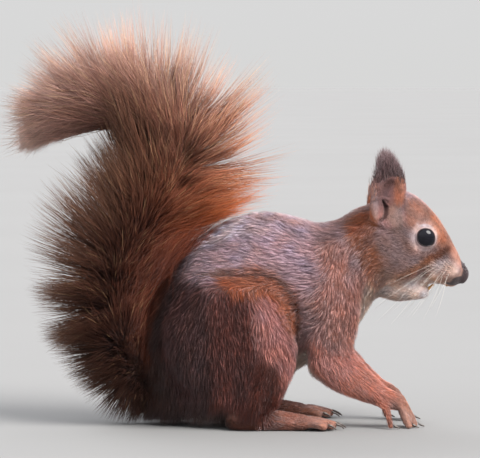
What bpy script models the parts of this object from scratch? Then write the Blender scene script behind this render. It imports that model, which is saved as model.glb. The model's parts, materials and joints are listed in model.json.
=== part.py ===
"""A life-size red squirrel, crouched on all fours with its tail curled up behind it, in solids that meet.

The frame: +X is the way the squirrel faces, +Y is its left and +Z is up. The floor is Z = 0.
All sizes below are in millimetres and are scaled to metres once, at the end.
"""

import math

import bmesh
import bpy
from mathutils import Matrix, Vector

MM = 0.001
GAP = 0.3  # clearance between solids that meet
SIDES = {"right": -1, "left": 1}  # the sign of Y on each side of the body

COATS = {  # colour, roughness
    "body": ((0.36, 0.20, 0.15), 0.9),
    "head": ((0.40, 0.21, 0.13), 0.9),
    "legs": ((0.45, 0.20, 0.11), 0.9),
    "tail": ((0.33, 0.13, 0.07), 0.9),
    "ear": ((0.30, 0.14, 0.09), 0.9),
    "eye": ((0.010, 0.008, 0.008), 0.08),
    "nose": ((0.04, 0.03, 0.03), 0.45),
    "claw": ((0.06, 0.045, 0.04), 0.4),
    "tooth": ((0.62, 0.33, 0.10), 0.35),
}

# The head is laid out along its own axis: u runs back from the tip of the nose, v runs up across it.
NOSE_TIP = Vector((112.5, 0, 78))
HEAD_BACK = Vector((-0.94, 0, 0.342)).normalized()
HEAD_UP = Vector((0.342, 0, 0.94)).normalized()
HEAD_SECTIONS = [  # u, v of the top, v of the underside, half width
    (0.8, 1.2, -4.9, 3.9),
    (4.0, 4.0, -9.3, 6.8),
    (9.0, 8.4, -11.8, 8.9),
    (15.0, 13.6, -13.2, 11.0),
    (22.0, 19.0, -15.6, 14.0),
    (29.0, 23.2, -19.5, 16.8),
    (36.0, 25.6, -22.0, 18.2),
    (43.0, 25.8, -22.5, 18.4),
    (50.0, 21.8, -20.5, 17.2),
    (57.0, 13.5, -16.0, 14.4),
]
EYE_PLACE = Vector((91.8, 12.6, 94.2))  # on the left; the right one is its mirror
EYE_RADIUS = 5.0
NOSE_PLACE = (0.5, -2.5)  # u, v
NOSE_RADII = (2.8, 3.2, 4.1)
HEAD_GRAIN = 1.2  # the size of the cubes that the head is run together on
HEAD_TRIANGLES = 590


def clear_scene():
    for old in list(bpy.data.objects):
        bpy.data.objects.remove(old, do_unlink=True)


def collection(name):
    made = bpy.data.collections.new(name)
    bpy.context.scene.collection.children.link(made)
    return made


def coat(name):
    """The plain material of one kind of surface."""
    found = bpy.data.materials.get(name)
    if found:
        return found
    made = bpy.data.materials.new(name)
    made.use_nodes = True
    shader = made.node_tree.nodes["Principled BSDF"]
    colour, roughness = COATS[name]
    shader.inputs["Base Color"].default_value = (*colour, 1)
    shader.inputs["Roughness"].default_value = roughness
    shader.inputs["Metallic"].default_value = 0.0
    return made


def new_object(name, form):
    """A mesh object made from a bmesh, its faces pointing out."""
    bmesh.ops.recalc_face_normals(form, faces=form.faces)
    mesh = bpy.data.meshes.new(name)
    form.to_mesh(mesh)
    form.free()
    made = bpy.data.objects.new(name, mesh)
    bpy.context.scene.collection.objects.link(made)
    return made


def catmull_rom(a, b, c, d, t):
    """The value at t on the curve from b to c that a and d bend."""
    return 0.5 * (2 * b + (c - a) * t + (2 * a - 5 * b + 4 * c - d) * t**2 + (3 * b - a - 3 * c + d) * t**3)


def smooth_between(rows, steps):
    """Rows of numbers with more rows put between them on a Catmull-Rom curve."""
    ends = [rows[0], *rows, rows[-1]]
    out = []
    for i in range(1, len(rows)):
        before, start, stop, after = ends[i - 1 : i + 3]
        for k in range(steps):
            t = k / steps
            out.append([catmull_rom(*values, t) for values in zip(before, start, stop, after)])
    out.append(list(rows[-1]))
    return out


def skin_rings(name, rings):
    """A closed loft over rings of equal length, each end drawn together to a point."""
    form = bmesh.new()
    loops = [[form.verts.new(p) for p in ring] for ring in rings]
    count = len(rings[0])
    for low, high in zip(loops, loops[1:]):
        for k in range(count):
            form.faces.new((low[k], low[(k + 1) % count], high[(k + 1) % count], high[k]))
    for loop, ring in ((loops[0], rings[0]), (loops[-1], rings[-1])):
        pole = form.verts.new(sum(ring, Vector()) / count)
        for k in range(count):
            form.faces.new((loop[k], loop[(k + 1) % count], pole))
    return new_object(name, form)


def ellipse(centre, across, up, count):
    """A ring of points round an ellipse with the half axes across and up."""
    turns = [2 * math.pi * k / count for k in range(count)]
    return [centre + across * math.cos(a) + up * math.sin(a) for a in turns]


CAP = ((0.92, 0.40), (0.62, 0.78))  # how far out and how wide the rings of a rounded end are
SMALL_CAP = ((0.75, 0.62),)


def rounded(rings_data, count, cap=CAP):
    """Rings for a loft from (centre, across, up), with rounded ends added."""
    ends = []
    for end, inner, order in ((0, 1, cap), (-1, -2, cap[::-1])):
        centre, across, up = rings_data[end]
        away = (centre - rings_data[inner][0]).normalized() * min(across.length, up.length) * 0.8
        ends.append([(centre + away * reach, across * width, up * width) for reach, width in order])
    return [ellipse(*ring, count) for ring in [*ends[0], *rings_data, *ends[1]]]


def limb(name, stations, count=14, steps=2, cap=CAP):
    """A tapering limb through (x, y, z, half width, half depth), its sections square to its path."""
    rows = smooth_between(stations, steps)
    rings = []
    for i, (x, y, z, wide, deep) in enumerate(rows):
        before, after = rows[max(i - 1, 0)], rows[min(i + 1, len(rows) - 1)]
        along = Vector([b - a for a, b in zip(before[:3], after[:3])]).normalized()
        across = (Vector((0, 1, 0)) - along * along.y).normalized()
        rings.append((Vector((x, y, z)), across * wide, across.cross(along) * deep))
    return skin_rings(name, rounded(rings, count, cap))


def ball(name, centre, radii, tilt=0.0, segments=20, rings=12):
    """An ellipsoid, tilted nose up by tilt degrees."""
    form = bmesh.new()
    turned = Matrix.Rotation(math.radians(-tilt), 4, "Y")
    place = Matrix.Translation(Vector(centre)) @ turned @ Matrix.Diagonal((*radii, 1))
    bmesh.ops.create_uvsphere(form, u_segments=segments, v_segments=rings, radius=1, matrix=place)
    return new_object(name, form)


def mirrored(place, side):
    return Vector((place[0], abs(place[1]) * side, place[2]))


def side_rows(rows, side):
    """Stations given for the left side, put on the side asked for."""
    return [(x, y * side, z, *sizes) for x, y, z, *sizes in rows]


def bake(obj):
    """Turns an object's modifiers into its mesh."""
    graph = bpy.context.evaluated_depsgraph_get()
    mesh = bpy.data.meshes.new_from_object(obj.evaluated_get(graph))
    obj.modifiers.clear()
    obj.data = mesh
    return obj


def combine(target, others, operation):
    """Joins others to the target, or cuts them from it. Every solid here is closed, as this solver needs."""
    for other in others:
        step = target.modifiers.new(operation, "BOOLEAN")
        step.operation = operation
        step.solver = "MANIFOLD"
        step.object = other
    return bake(target)


def grown(obj, by):
    """A copy of an object, larger by a thin layer all over."""
    copy = bpy.data.objects.new(obj.name + "_grown", obj.data.copy())
    bpy.context.scene.collection.objects.link(copy)
    step = copy.modifiers.new("layer", "DISPLACE")
    step.strength = by
    step.mid_level = 0
    return bake(copy)


def largest_body(obj):
    """Drops the slivers that a cut leaves beside the piece."""
    form = bmesh.new()
    form.from_mesh(obj.data)
    left = set(form.verts)
    groups = []
    while left:
        stack = [left.pop()]
        group = set(stack)
        while stack:
            for edge in stack.pop().link_edges:
                for vert in edge.verts:
                    if vert in left:
                        left.discard(vert)
                        group.add(vert)
                        stack.append(vert)
        groups.append(group)
    keep = max(groups, key=len)
    bmesh.ops.delete(form, geom=[v for v in form.verts if v not in keep], context="VERTS")
    form.to_mesh(obj.data)
    form.free()
    return obj


def carve(target, *neighbours):
    """Cuts the target back so that it meets its neighbours with a small gap."""
    cutters = [grown(n, GAP) for n in neighbours]
    combine(target, cutters, "DIFFERENCE")
    for cutter in cutters:
        bpy.data.objects.remove(cutter)
    return largest_body(target)


def union(name, shapes):
    first, *rest = shapes
    combine(first, rest, "UNION")
    for other in rest:
        bpy.data.objects.remove(other)
    first.name = name
    return first


def moulded(name, shapes, voxel, rounds, triangles):
    """Shapes run together into one, with their joins rounded off, in about so many triangles."""
    body = union(name, shapes)
    mould = body.modifiers.new("mould", "REMESH")
    mould.mode = "VOXEL"
    mould.voxel_size = voxel
    soften = body.modifiers.new("soften", "SMOOTH")
    soften.factor = 0.5
    soften.iterations = rounds
    bake(body)
    thin = body.modifiers.new("thin", "DECIMATE")
    thin.ratio = triangles / sum(len(p.vertices) - 2 for p in body.data.polygons)
    return bake(body)


def box(name, low, high):
    form = bmesh.new()
    middle = (Vector(low) + Vector(high)) / 2
    size = Vector(high) - Vector(low)
    bmesh.ops.create_cube(form, size=1, matrix=Matrix.Translation(middle) @ Matrix.Diagonal((*size, 1)))
    return new_object(name, form)


def head_point(u, v, y=0.0):
    return NOSE_TIP + HEAD_BACK * u + HEAD_UP * v + Vector((0, y, 0))


HEAD_SWELLINGS = [  # name, (u, v, y) of the centre on the left, the three radii, tilt
    ("cheek", (36.0, -9.0, 8.5), (16.0, 10.5, 12.5), 8),
    ("brow", (26.0, 12.6, 8.4), (9.5, 6.2, 5.4), -38),
    ("whisker_pad", (9.5, -5.2, 4.3), (8.0, 4.9, 5.6), 8),
]


def make_head():
    """The skull and muzzle as one loft, with the cheeks, the brows and the pads of the whiskers."""
    rings = []
    for u, top, bottom, half_width in smooth_between(HEAD_SECTIONS, 2):
        centre = head_point(u, (top + bottom) / 2)
        rings.append((centre, Vector((0, half_width, 0)), HEAD_UP * (top - bottom) / 2))
    shapes = [skin_rings("head", rounded(rings, 24))]
    for sign in SIDES.values():
        for name, (u, v, y), radii, tilt in HEAD_SWELLINGS:
            shapes.append(ball(name, head_point(u, v, y * sign), radii, tilt))
    return moulded("head", shapes, HEAD_GRAIN, 6, HEAD_TRIANGLES)


def make_eyes():
    radii = (EYE_RADIUS,) * 3
    return [ball(f"eye_{side}", mirrored(EYE_PLACE, sign), radii, 0, 12, 8) for side, sign in SIDES.items()]


def make_nose():
    """The bare pad at the tip of the muzzle."""
    return ball("nose", head_point(*NOSE_PLACE), NOSE_RADII, 15, 10, 6)


JAW = [  # the lower jaw, from the throat to the chin
    (70.0, 0, 73.5, 12.5, 10.0),
    (78.0, 0, 69.5, 10.4, 9.4),
    (86.0, 0, 67.5, 7.6, 5.6),
    (92.5, 0, 66.3, 4.6, 3.6),
]


def make_jaw():
    return limb("jaw", JAW, 10, 1, SMALL_CAP)


UPPER_INCISORS = [(102.0, 0, 75.5, 1.5, 1.1), (103.6, 0, 72.6, 1.5, 1.0), (103.4, 0, 69.4, 1.3, 0.7)]
LOWER_INCISORS = [(91.0, 0, 66.5, 1.3, 1.2), (95.4, 0, 68.4, 1.3, 1.0), (98.0, 0, 71.4, 1.1, 0.6)]


def make_incisors():
    """The two pairs of long front teeth, the two of a pair side by side as one."""
    upper = limb("incisors_upper", UPPER_INCISORS, 6, 1, SMALL_CAP)
    lower = limb("incisors_lower", LOWER_INCISORS, 6, 1, SMALL_CAP)
    return upper, lower


NECK = [
    (50.0, 0, 79.0, 20.0, 25.0),
    (60.0, 0, 84.5, 18.5, 21.8),
    (68.0, 0, 89.5, 17.0, 19.0),
    (76.0, 0, 93.0, 15.5, 17.0),
]

TRUNK = [  # rump to shoulders
    (-36.0, 0, 14.0, 14.0, 11.5),
    (-32.0, 0, 31.0, 21.0, 19.5),
    (-22.0, 0, 48.0, 26.0, 29.0),
    (-6.0, 0, 59.0, 29.0, 37.5),
    (13.0, 0, 65.5, 28.5, 42.0),
    (32.0, 0, 69.0, 25.0, 37.5),
    (44.0, 0, 72.5, 22.0, 32.0),
    (50.0, 0, 74.5, 19.5, 27.0),
]


BELLY_PLACE = (-8.0, 0, 24.0)
BELLY_RADII = (34.0, 25.0, 24.5)
TRUNK_GRAIN = 2.6
TRUNK_TRIANGLES = 390


def make_trunk():
    """The barrel of the body, with the belly that sinks to the floor between the thighs."""
    shapes = [limb("trunk", TRUNK, 24, 3), ball("belly", BELLY_PLACE, BELLY_RADII)]
    return moulded("trunk", shapes, TRUNK_GRAIN, 5, TRUNK_TRIANGLES)


THIGH = [  # hip to knee, given for the left side
    (-25.0, 19.0, 38.0, 15.0, 25.0),
    (-10.0, 21.0, 43.0, 16.5, 35.0),
    (7.0, 24.0, 44.0, 15.5, 33.0),
    (17.0, 26.0, 46.0, 12.5, 24.0),
]
SHANK = [(15.0, 27.0, 44.0, 12.5, 14.0), (15.5, 28.5, 30.0, 11.0, 12.5), (7.0, 28.0, 14.0, 8.5, 10.5)]
FOOT = [
    (-3.0, 27.5, 6.0, 6.0, 6.6),
    (9.0, 27.5, 5.2, 6.5, 6.2),
    (22.0, 27.0, 4.2, 7.0, 5.0),
    (32.0, 26.5, 3.3, 7.6, 4.0),
]
TOES = [  # where each hind toe leaves the foot and ends, across, and its length
    (-6.0, -8.0, 9.5),
    (-3.2, -4.2, 14.0),
    (0.0, -0.4, 15.5),
    (3.2, 3.8, 14.5),
    (6.2, 7.8, 10.5),
]
TOE_ROOT = (31.0, 26.5, 3.6)
TOE_RADIUS = 2.3


def make_hind_leg(side, sign):
    """Thigh, shank, the long foot with its five toes, and their claws."""
    thigh = limb(f"thigh_{side}", side_rows(THIGH, sign), 16, 1)
    shank = limb(f"shank_{side}", side_rows(SHANK, sign), 10, 2, SMALL_CAP)
    sole = limb(f"hind_foot_{side}", side_rows(FOOT, sign), 8, 1, SMALL_CAP)
    x, y, z = TOE_ROOT
    toes, claws = [], []
    for number, (start, end, length) in enumerate(TOES):
        path = [
            (x - 3, y + start * 0.9, z, TOE_RADIUS, TOE_RADIUS),
            (x + length * 0.5, y + (start + end) / 2, z + 0.4, TOE_RADIUS, TOE_RADIUS * 1.05),
            (x + length, y + end, z - 1.2, TOE_RADIUS * 0.85, TOE_RADIUS * 0.9),
        ]
        toes.append(limb("toe", side_rows(path, sign), 6, 1, SMALL_CAP))
        claws.append(claw(f"claw_hind_{side}_{number + 1}", (x + length + 0.8, (y + end) * sign, z - 0.8)))
    return thigh, shank, union(f"hind_foot_{side}", [sole, *toes]), claws


CLAW_BEND = [(-1.5, 0.1, 0.9), (1.4, 0.5, 0.85), (3.6, -0.5, 0.6), (5.0, -2.0, 0.28)]  # forward, up, radius
CLAW_CLEARANCE = 0.2  # the least height of a claw's underside over the floor


def claw(name, root):
    """A small hooked claw that starts inside the toe and curves down to the floor."""
    x, y, z = root
    rows = []
    for ahead, rise, radius in CLAW_BEND:
        height = max(z + rise, radius + CLAW_CLEARANCE)
        rows.append((x + ahead, y, height, radius * 0.8, radius))
    return limb(name, rows, 4, 1, ())


UPPER_ARM = [(44.5, 13.0, 74.0, 11.0, 16.0), (44.5, 17.0, 58.0, 11.0, 16.0), (43.5, 19.0, 44.0, 10.0, 14.5)]
FOREARM = [
    (41.5, 19.0, 36.0, 9.5, 13.0),
    (51.0, 18.5, 28.0, 8.4, 11.5),
    (60.0, 18.0, 21.5, 6.8, 8.6),
    (68.0, 17.5, 17.0, 5.6, 6.3),
]
HAND = [(68.0, 17.2, 16.6, 5.6, 5.8), (74.0, 17.0, 14.2, 6.0, 5.0), (79.0, 17.0, 12.0, 5.4, 3.8)]
FINGERS = [  # root x, across at the root, across at the tip, reach of the tip, given for the left side
    (71.0, 4.8, 8.0, 2.5),
    (77.0, 2.6, 4.6, 6.0),
    (78.5, -1.0, -0.6, 7.5),
    (77.5, -4.0, -5.8, 5.0),
]
FINGER_RADIUS = 2.1
FINGER_HEIGHTS = (13.2, 10.6, 5.0, 1.3)  # from the knuckle to the tip


def make_foreleg(side, sign):
    """Upper arm, forearm, the hand with its four fingers standing on their tips, and their claws."""
    upper = limb(f"upper_arm_{side}", side_rows(UPPER_ARM, sign), 12, 1)
    forearm = limb(f"forearm_{side}", side_rows(FOREARM, sign), 10, 1, SMALL_CAP)
    palm = limb(f"fore_foot_{side}", side_rows(HAND, sign), 8, 1, SMALL_CAP)
    y = HAND[1][1]
    fingers, claws = [], []
    for number, (x, start, end, reach) in enumerate(FINGERS):
        knuckle, middle, last, tip = FINGER_HEIGHTS
        path = [
            (x - 3.5, y + start * 0.85, knuckle, FINGER_RADIUS * 1.1, FINGER_RADIUS * 1.1),
            (x + reach * 0.45, y + (start + end) / 2, middle, FINGER_RADIUS, FINGER_RADIUS * 1.1),
            (x + reach * 0.85, y + end * 0.92, last, FINGER_RADIUS * 0.9, FINGER_RADIUS),
            (x + reach + 0.6, y + end, tip, FINGER_RADIUS * 0.9, FINGER_RADIUS * 0.9),
        ]
        fingers.append(limb("finger", side_rows(path, sign), 6, 1, SMALL_CAP))
        claws.append(claw(f"claw_fore_{side}_{number + 1}", (x + reach + 0.6, (y + end) * sign, 1.6)))
    return upper, forearm, union(f"fore_foot_{side}", [palm, *fingers]), claws


EAR_BASE = Vector((72.0, 12.0, 100.0))
EAR_TIP = Vector((76.0, 17.5, 136.5))
EAR_FACING = 0.35  # how far the front edge lies inwards of the back edge, so that the hollow faces forwards
EAR_LEAF = [  # share of the way up, half width, half thickness, how far the leaf leans forward
    (0.02, 8.0, 3.4, 0.0),
    (0.25, 9.8, 3.4, -0.4),
    (0.50, 9.4, 3.0, 0.2),
    (0.72, 6.8, 2.5, 0.6),
    (0.90, 3.8, 2.0, -1.2),
    (1.00, 1.6, 1.2, -2.6),
]
BOWL_HEIGHT = 0.42  # share of the way up the ear
BOWL_OUT = 4.4
BOWL_RADII = (7.4, 4.6, 12.5)


def make_ear(side, sign):
    """A leaf-shaped shell, hollow on its outer side, that ends in the tuft at its tip."""
    base, tip = mirrored(EAR_BASE, sign), mirrored(EAR_TIP, sign)
    up = (tip - base).normalized()
    forward = Vector((1, -EAR_FACING * sign, 0))
    wide = (forward - up * up.dot(forward)).normalized()
    out = wide.cross(up) * -sign
    if out.y * sign < 0:
        out = -out
    rings = []
    for share, half_width, half_thick, lean in EAR_LEAF:
        centre = base.lerp(tip, share) + wide * lean
        rings.append((centre, wide * half_width, out * half_thick))
    ear = skin_rings(f"ear_{side}", rounded(rings, 10, SMALL_CAP))
    bowl_place = base.lerp(tip, BOWL_HEIGHT) + out * BOWL_OUT
    frame = Matrix((wide, out, up)).transposed().to_4x4()
    form = bmesh.new()
    place = Matrix.Translation(bowl_place) @ frame @ Matrix.Diagonal((*BOWL_RADII, 1))
    bmesh.ops.create_uvsphere(form, u_segments=10, v_segments=6, radius=1, matrix=place)
    bowl = new_object("bowl", form)
    combine(ear, [bowl], "DIFFERENCE")
    bpy.data.objects.remove(bowl)
    return largest_body(ear)


# The tail as a fan of ribs over its own bend: outer end (x, z), inner end (x, z) and half thickness.
TAIL_RIBS = [
    (-76.0, 8.0, -44.0, 6.0, 13.0),
    (-91.0, 28.0, -44.0, 24.0, 21.0),
    (-103.0, 50.0, -46.0, 46.0, 26.0),
    (-107.0, 76.0, -40.0, 70.0, 29.0),
    (-106.0, 101.0, -18.0, 92.0, 30.5),
    (-97.0, 124.0, 8.0, 113.0, 31.0),
    (-80.0, 138.0, 19.0, 133.0, 31.0),
    (-68.0, 145.0, 18.0, 158.0, 30.5),
    (-66.0, 148.0, 3.0, 184.0, 30.0),
    (-69.0, 149.0, -32.0, 201.0, 29.0),
    (-76.0, 149.0, -68.0, 204.0, 26.5),
    (-88.0, 147.5, -95.0, 193.0, 21.5),
    (-104.0, 145.0, -109.0, 174.0, 14.5),
    (-116.0, 146.0, -116.5, 158.0, 6.0),
]


def make_tail():
    """The whole brush of the tail, out to the tips of its hair."""
    rings = []
    for x0, z0, x1, z1, half_thick in smooth_between(TAIL_RIBS, 2):
        outer, inner = Vector((x0, 0, z0)), Vector((x1, 0, z1))
        rings.append(((outer + inner) / 2, Vector((0, half_thick, 0)), (outer - inner) / 2))
    return skin_rings("tail", rounded(rings, 16))


TAIL_BASE_TOP = 84.0  # where the base of the tail ends and its plume begins
TAIL_BEND = Vector((-66.0, 0, 147.0))  # the crook under the tip
TIP_CUT_TURN = -145  # degrees, of the plane through the crook that parts the tip from the plume


def split_tail(tail):
    """The tail in three lengths: the base behind the rump, the upright plume and the tip that hangs back."""
    names = ("tail_base", "tail_plume", "tail_tip")
    lower = box("below", (-140, -60, -20), (60, 60, TAIL_BASE_TOP))
    tip_side = box("beyond", (0, -60, -20), (140, 60, 140))
    turned = Matrix.Rotation(math.radians(TIP_CUT_TURN), 4, "Y")
    tip_side.data.transform(Matrix.Translation(TAIL_BEND) @ turned)
    pieces = []
    for name in names:
        piece = bpy.data.objects.new(name, tail.data.copy())
        bpy.context.scene.collection.objects.link(piece)
        pieces.append(piece)
    base, plume, tip = pieces
    combine(base, [lower], "INTERSECT")
    combine(tip, [tip_side], "INTERSECT")
    carve(tip, base)
    carve(plume, base, tip)
    for helper in (lower, tip_side, tail):
        bpy.data.objects.remove(helper)
    return [largest_body(piece) for piece in pieces]


def paint(objects, name):
    for obj in objects:
        obj.data.materials.clear()
        obj.data.materials.append(coat(name))


def make_head_pieces():
    """The head, with the eyes, nose, teeth, jaw, ears and neck fitted to it. Returns them by kind."""
    eyes = make_eyes()
    nose = make_nose()
    upper_teeth, lower_teeth = make_incisors()
    head = carve(make_head(), *eyes, nose, upper_teeth)
    carve(lower_teeth, head, upper_teeth)
    jaw = carve(make_jaw(), head, lower_teeth, upper_teeth)
    neck = carve(limb("neck", NECK, 14, 1), head, jaw)
    ears = [carve(make_ear(side, sign), head) for side, sign in SIDES.items()]
    return {"head": [head, jaw], "neck": [neck], "eye": eyes, "nose": [nose], "ear": ears,
            "tooth": [upper_teeth, lower_teeth]}


def make_leg_pieces(floor):
    """All four legs, each piece fitted to the one above it and cut flat where it stands."""
    legs, claws = [], []
    for side, sign in SIDES.items():
        thigh, shank, foot, hind_claws = make_hind_leg(side, sign)
        upper_arm, forearm, hand, fore_claws = make_foreleg(side, sign)
        for standing in (thigh, foot, hand):
            combine(standing, [floor], "DIFFERENCE")
        carve(shank, thigh)
        carve(foot, thigh, shank)
        carve(forearm, upper_arm)
        carve(hand, forearm)
        for nail in hind_claws:
            carve(nail, foot)
        for nail in fore_claws:
            carve(nail, hand)
        legs.append({"upper_arm": upper_arm, "forearm": forearm, "hand": hand, "thigh": thigh, "shank": shank,
                     "foot": foot})
        claws += hind_claws + fore_claws
    return legs, claws


def to_row_frame(objects, model):
    """Scales to metres, centres the outline over the origin and fills the model's collection."""
    corners = [v.co for obj in objects for v in obj.data.vertices]
    middle_x = (min(c.x for c in corners) + max(c.x for c in corners)) / 2
    middle_y = (min(c.y for c in corners) + max(c.y for c in corners)) / 2
    to_frame = Matrix.Scale(MM, 4) @ Matrix.Translation((-middle_x, -middle_y, 0))
    for obj in objects:
        obj.data.transform(to_frame)
        obj.data.update()
        bpy.context.scene.collection.objects.unlink(obj)
        model.objects.link(obj)


def main():
    clear_scene()
    model = collection("squirrel")
    floor = box("floor", (-200, -100, -60), (200, 100, 0))

    front = make_head_pieces()
    legs, claws = make_leg_pieces(floor)
    for leg in legs:
        carve(leg["upper_arm"], *front["neck"])
    limbs = [piece for leg in legs for name, piece in leg.items() if name != "hand"]
    trunk = make_trunk()
    combine(trunk, [floor], "DIFFERENCE")
    carve(trunk, *front["head"], *front["neck"], *limbs)
    tail = make_tail()
    combine(tail, [floor], "DIFFERENCE")
    carve(tail, trunk, *(leg[name] for leg in legs for name in ("thigh", "foot")))
    tail_pieces = split_tail(tail)
    bpy.data.objects.remove(floor)

    paint(front["head"], "head")
    paint([*front["neck"], trunk], "body")
    paint([piece for leg in legs for piece in leg.values()], "legs")
    paint(tail_pieces, "tail")
    paint(claws, "claw")
    for kind in ("ear", "eye", "nose", "tooth"):
        paint(front[kind], kind)
    to_row_frame(list(bpy.context.scene.collection.objects), model)


main()
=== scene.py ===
# %% [markdown]
# # A red squirrel, life size, crouched on all fours
#
# A museum model of a Eurasian red squirrel. Two things make it: one closed skin, a little thinner than the
# animal looks, and a coat of many thousand small tufts that stand on that skin and fill it out to its true
# outline. Whiskers, eyes, claws and teeth are pieces of their own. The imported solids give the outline, so
# everything below is measured from them.

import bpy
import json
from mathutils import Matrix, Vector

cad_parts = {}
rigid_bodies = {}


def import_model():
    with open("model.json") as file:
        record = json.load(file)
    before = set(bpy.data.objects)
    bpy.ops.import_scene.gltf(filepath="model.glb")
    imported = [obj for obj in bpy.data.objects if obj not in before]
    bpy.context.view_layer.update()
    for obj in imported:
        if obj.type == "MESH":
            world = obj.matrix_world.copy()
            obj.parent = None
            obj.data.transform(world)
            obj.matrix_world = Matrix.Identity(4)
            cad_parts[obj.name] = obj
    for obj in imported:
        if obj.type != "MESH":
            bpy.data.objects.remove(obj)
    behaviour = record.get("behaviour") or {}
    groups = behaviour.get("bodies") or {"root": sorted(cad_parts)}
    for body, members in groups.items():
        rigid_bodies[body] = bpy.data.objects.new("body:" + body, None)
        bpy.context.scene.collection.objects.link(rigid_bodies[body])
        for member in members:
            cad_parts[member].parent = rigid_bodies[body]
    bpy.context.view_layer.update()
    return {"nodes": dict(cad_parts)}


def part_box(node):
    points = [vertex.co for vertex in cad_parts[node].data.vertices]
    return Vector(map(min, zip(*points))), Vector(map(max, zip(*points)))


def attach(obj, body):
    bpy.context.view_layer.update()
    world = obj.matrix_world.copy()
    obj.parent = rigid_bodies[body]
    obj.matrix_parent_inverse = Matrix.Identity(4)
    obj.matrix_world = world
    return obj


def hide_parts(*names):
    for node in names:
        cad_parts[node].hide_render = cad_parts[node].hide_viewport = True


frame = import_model()

# %% The other tools
import json
import math

import bpy
import numpy as np
from mathutils import Vector
from mathutils.bvhtree import BVHTree
from mathutils.kdtree import KDTree

MM = 0.001
SIDES = {"left": 1, "right": -1}
nodes = frame["nodes"]
rng = np.random.default_rng(11)  # all chance in the coat starts from this seed
print(len(nodes), "solids in the frame")

# %% [markdown]
# ## Where things are
#
# The squirrel faces +X, its left is +Y and up is +Z. The pose was laid out in millimetres from a point on the
# floor under the belly, with the left eye at EYE_SPOT. The eye's box gives that layout point back, so places
# can be written in plain millimetres wherever the frame's origin is. Both halves are alike, so a place on one
# side is looked up by the size of its y alone.

# %% The layout point, and places counted from it
EYE_SPOT = np.array([91.8, 12.6, 94.2])
eye_low, eye_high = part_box("eye_left")
EYE_RADIUS = (eye_high.z - eye_low.z) / 2
LAYOUT = (eye_low + eye_high) / 2 - Vector(EYE_SPOT) * MM


def place(x, y, z):
    return LAYOUT + Vector((x, y, z)) * MM


def to_layout(points):
    """Points in metres as millimetres from the layout point."""
    return (np.asarray(points) - np.array(LAYOUT)) / MM


print("the layout point is at", [round(c / MM, 2) for c in LAYOUT], "mm")

# %% Helpers for selecting, and for reading and writing a mesh's points


def pick(*objects):
    """Selects these objects and nothing else, and makes the first one active."""
    bpy.ops.object.select_all(action="DESELECT")
    for one in objects:
        one.select_set(True)
    bpy.context.view_layer.objects.active = objects[0]
    return objects[0]


def apply_all(obj):
    pick(obj)
    for step in list(obj.modifiers):
        bpy.ops.object.modifier_apply(modifier=step.name)
    return obj


def points_of(obj):
    values = np.empty(len(obj.data.vertices) * 3, np.float32)
    obj.data.vertices.foreach_get("co", values)
    return values.reshape(-1, 3).astype(float)


def normals_of(obj):
    values = np.empty(len(obj.data.vertices) * 3, np.float32)
    obj.data.vertex_normals.foreach_get("vector", values)
    return values.reshape(-1, 3).astype(float)


def set_points(obj, points):
    obj.data.vertices.foreach_set("co", points.astype(np.float32).ravel())
    obj.data.update()


# %% Helpers for directions, distances and soft steps


def unit(vectors):
    length = np.linalg.norm(vectors, axis=-1, keepdims=True)
    return vectors / np.maximum(length, 1e-12)


def smoothstep(low, high, values):
    """From 0 at low to 1 at high, with a soft start and end."""
    t = np.clip((values - low) / (high - low), 0, 1)
    return t * t * (3 - 2 * t)


def folded(spots):
    """The same spots with both sides of the body laid on the left one."""
    return spots * [1, 0, 1] + np.abs(spots) * [0, 1, 0]


def from_spot(spots, spot):
    """The distance of each spot from one place."""
    return np.linalg.norm(spots - spot, axis=1)


def from_segment(spots, start, end):
    """The distance of each spot from a straight line between two places."""
    start, along = np.array(start, float), np.subtract(end, start).astype(float)
    t = np.clip((spots - start) @ along / (along @ along), 0, 1)
    return np.linalg.norm(spots - start - t[:, None] * along, axis=1)


def from_line(spots, line):
    """The distance of each spot from a line of x and z points, seen from the side."""
    flat = spots[:, [0, 2]]
    return np.min([from_segment(flat, start, end) for start, end in zip(line, line[1:])], axis=0)


def dome(distance, half_width):
    """1 in the middle, falling to 0 at the half width."""
    return np.clip(1 - (distance / half_width) ** 2, 0, 1)


def arcs(starts, bends, ends, stops):
    """Curves that leave each start toward its bend and turn to its end: their points at the stops, 0 to 1."""
    t = stops[None, :, None]
    return starts[:, None] * (1 - t) ** 2 + 2 * bends[:, None] * t * (1 - t) + ends[:, None] * t**2


# %% [markdown]
# ## The skin
#
# A living skin is one sheet from the nose to the tail. It could be modelled from a cage, but the solids are
# already the right shape, so copies of them are swelled until they run into each other, joined, and remeshed
# into one closed surface. The eyes go in too, so that the sockets close; the lids are shaped there later.

# %% Copies of the solids of flesh, swelled to meet
FLESH = ["head", "jaw", "neck", "trunk", "nose"]
for side in SIDES:
    FLESH += [f"{part}_{side}" for part in ("ear", "thigh", "shank", "hind_foot")]
    FLESH += [f"{part}_{side}" for part in ("upper_arm", "forearm", "fore_foot")]
TAIL = ["tail_base", "tail_plume", "tail_tip"]
SWELL = 0.42 * MM
SAME_PLACE = 0.00001  # points closer than this are one


def merge_points(obj):
    """Makes one point of those that lie in the same place."""
    pick(obj)
    bpy.ops.object.mode_set(mode="EDIT")
    bpy.ops.mesh.select_all(action="SELECT")
    bpy.ops.mesh.remove_doubles(threshold=SAME_PLACE)
    bpy.ops.object.mode_set(mode="OBJECT")
    return obj


def copy_of(node, swell=0.0):
    """A copy of a CAD node with its loose triangles merged, larger all round if asked."""
    made = bpy.data.objects.new("copy_of_" + node, nodes[node].data.copy())
    bpy.context.scene.collection.objects.link(made)
    merge_points(made)
    if swell:
        layer = made.modifiers.new("layer", "DISPLACE")
        layer.strength = swell
        layer.mid_level = 0
        apply_all(made)
    return made


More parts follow.
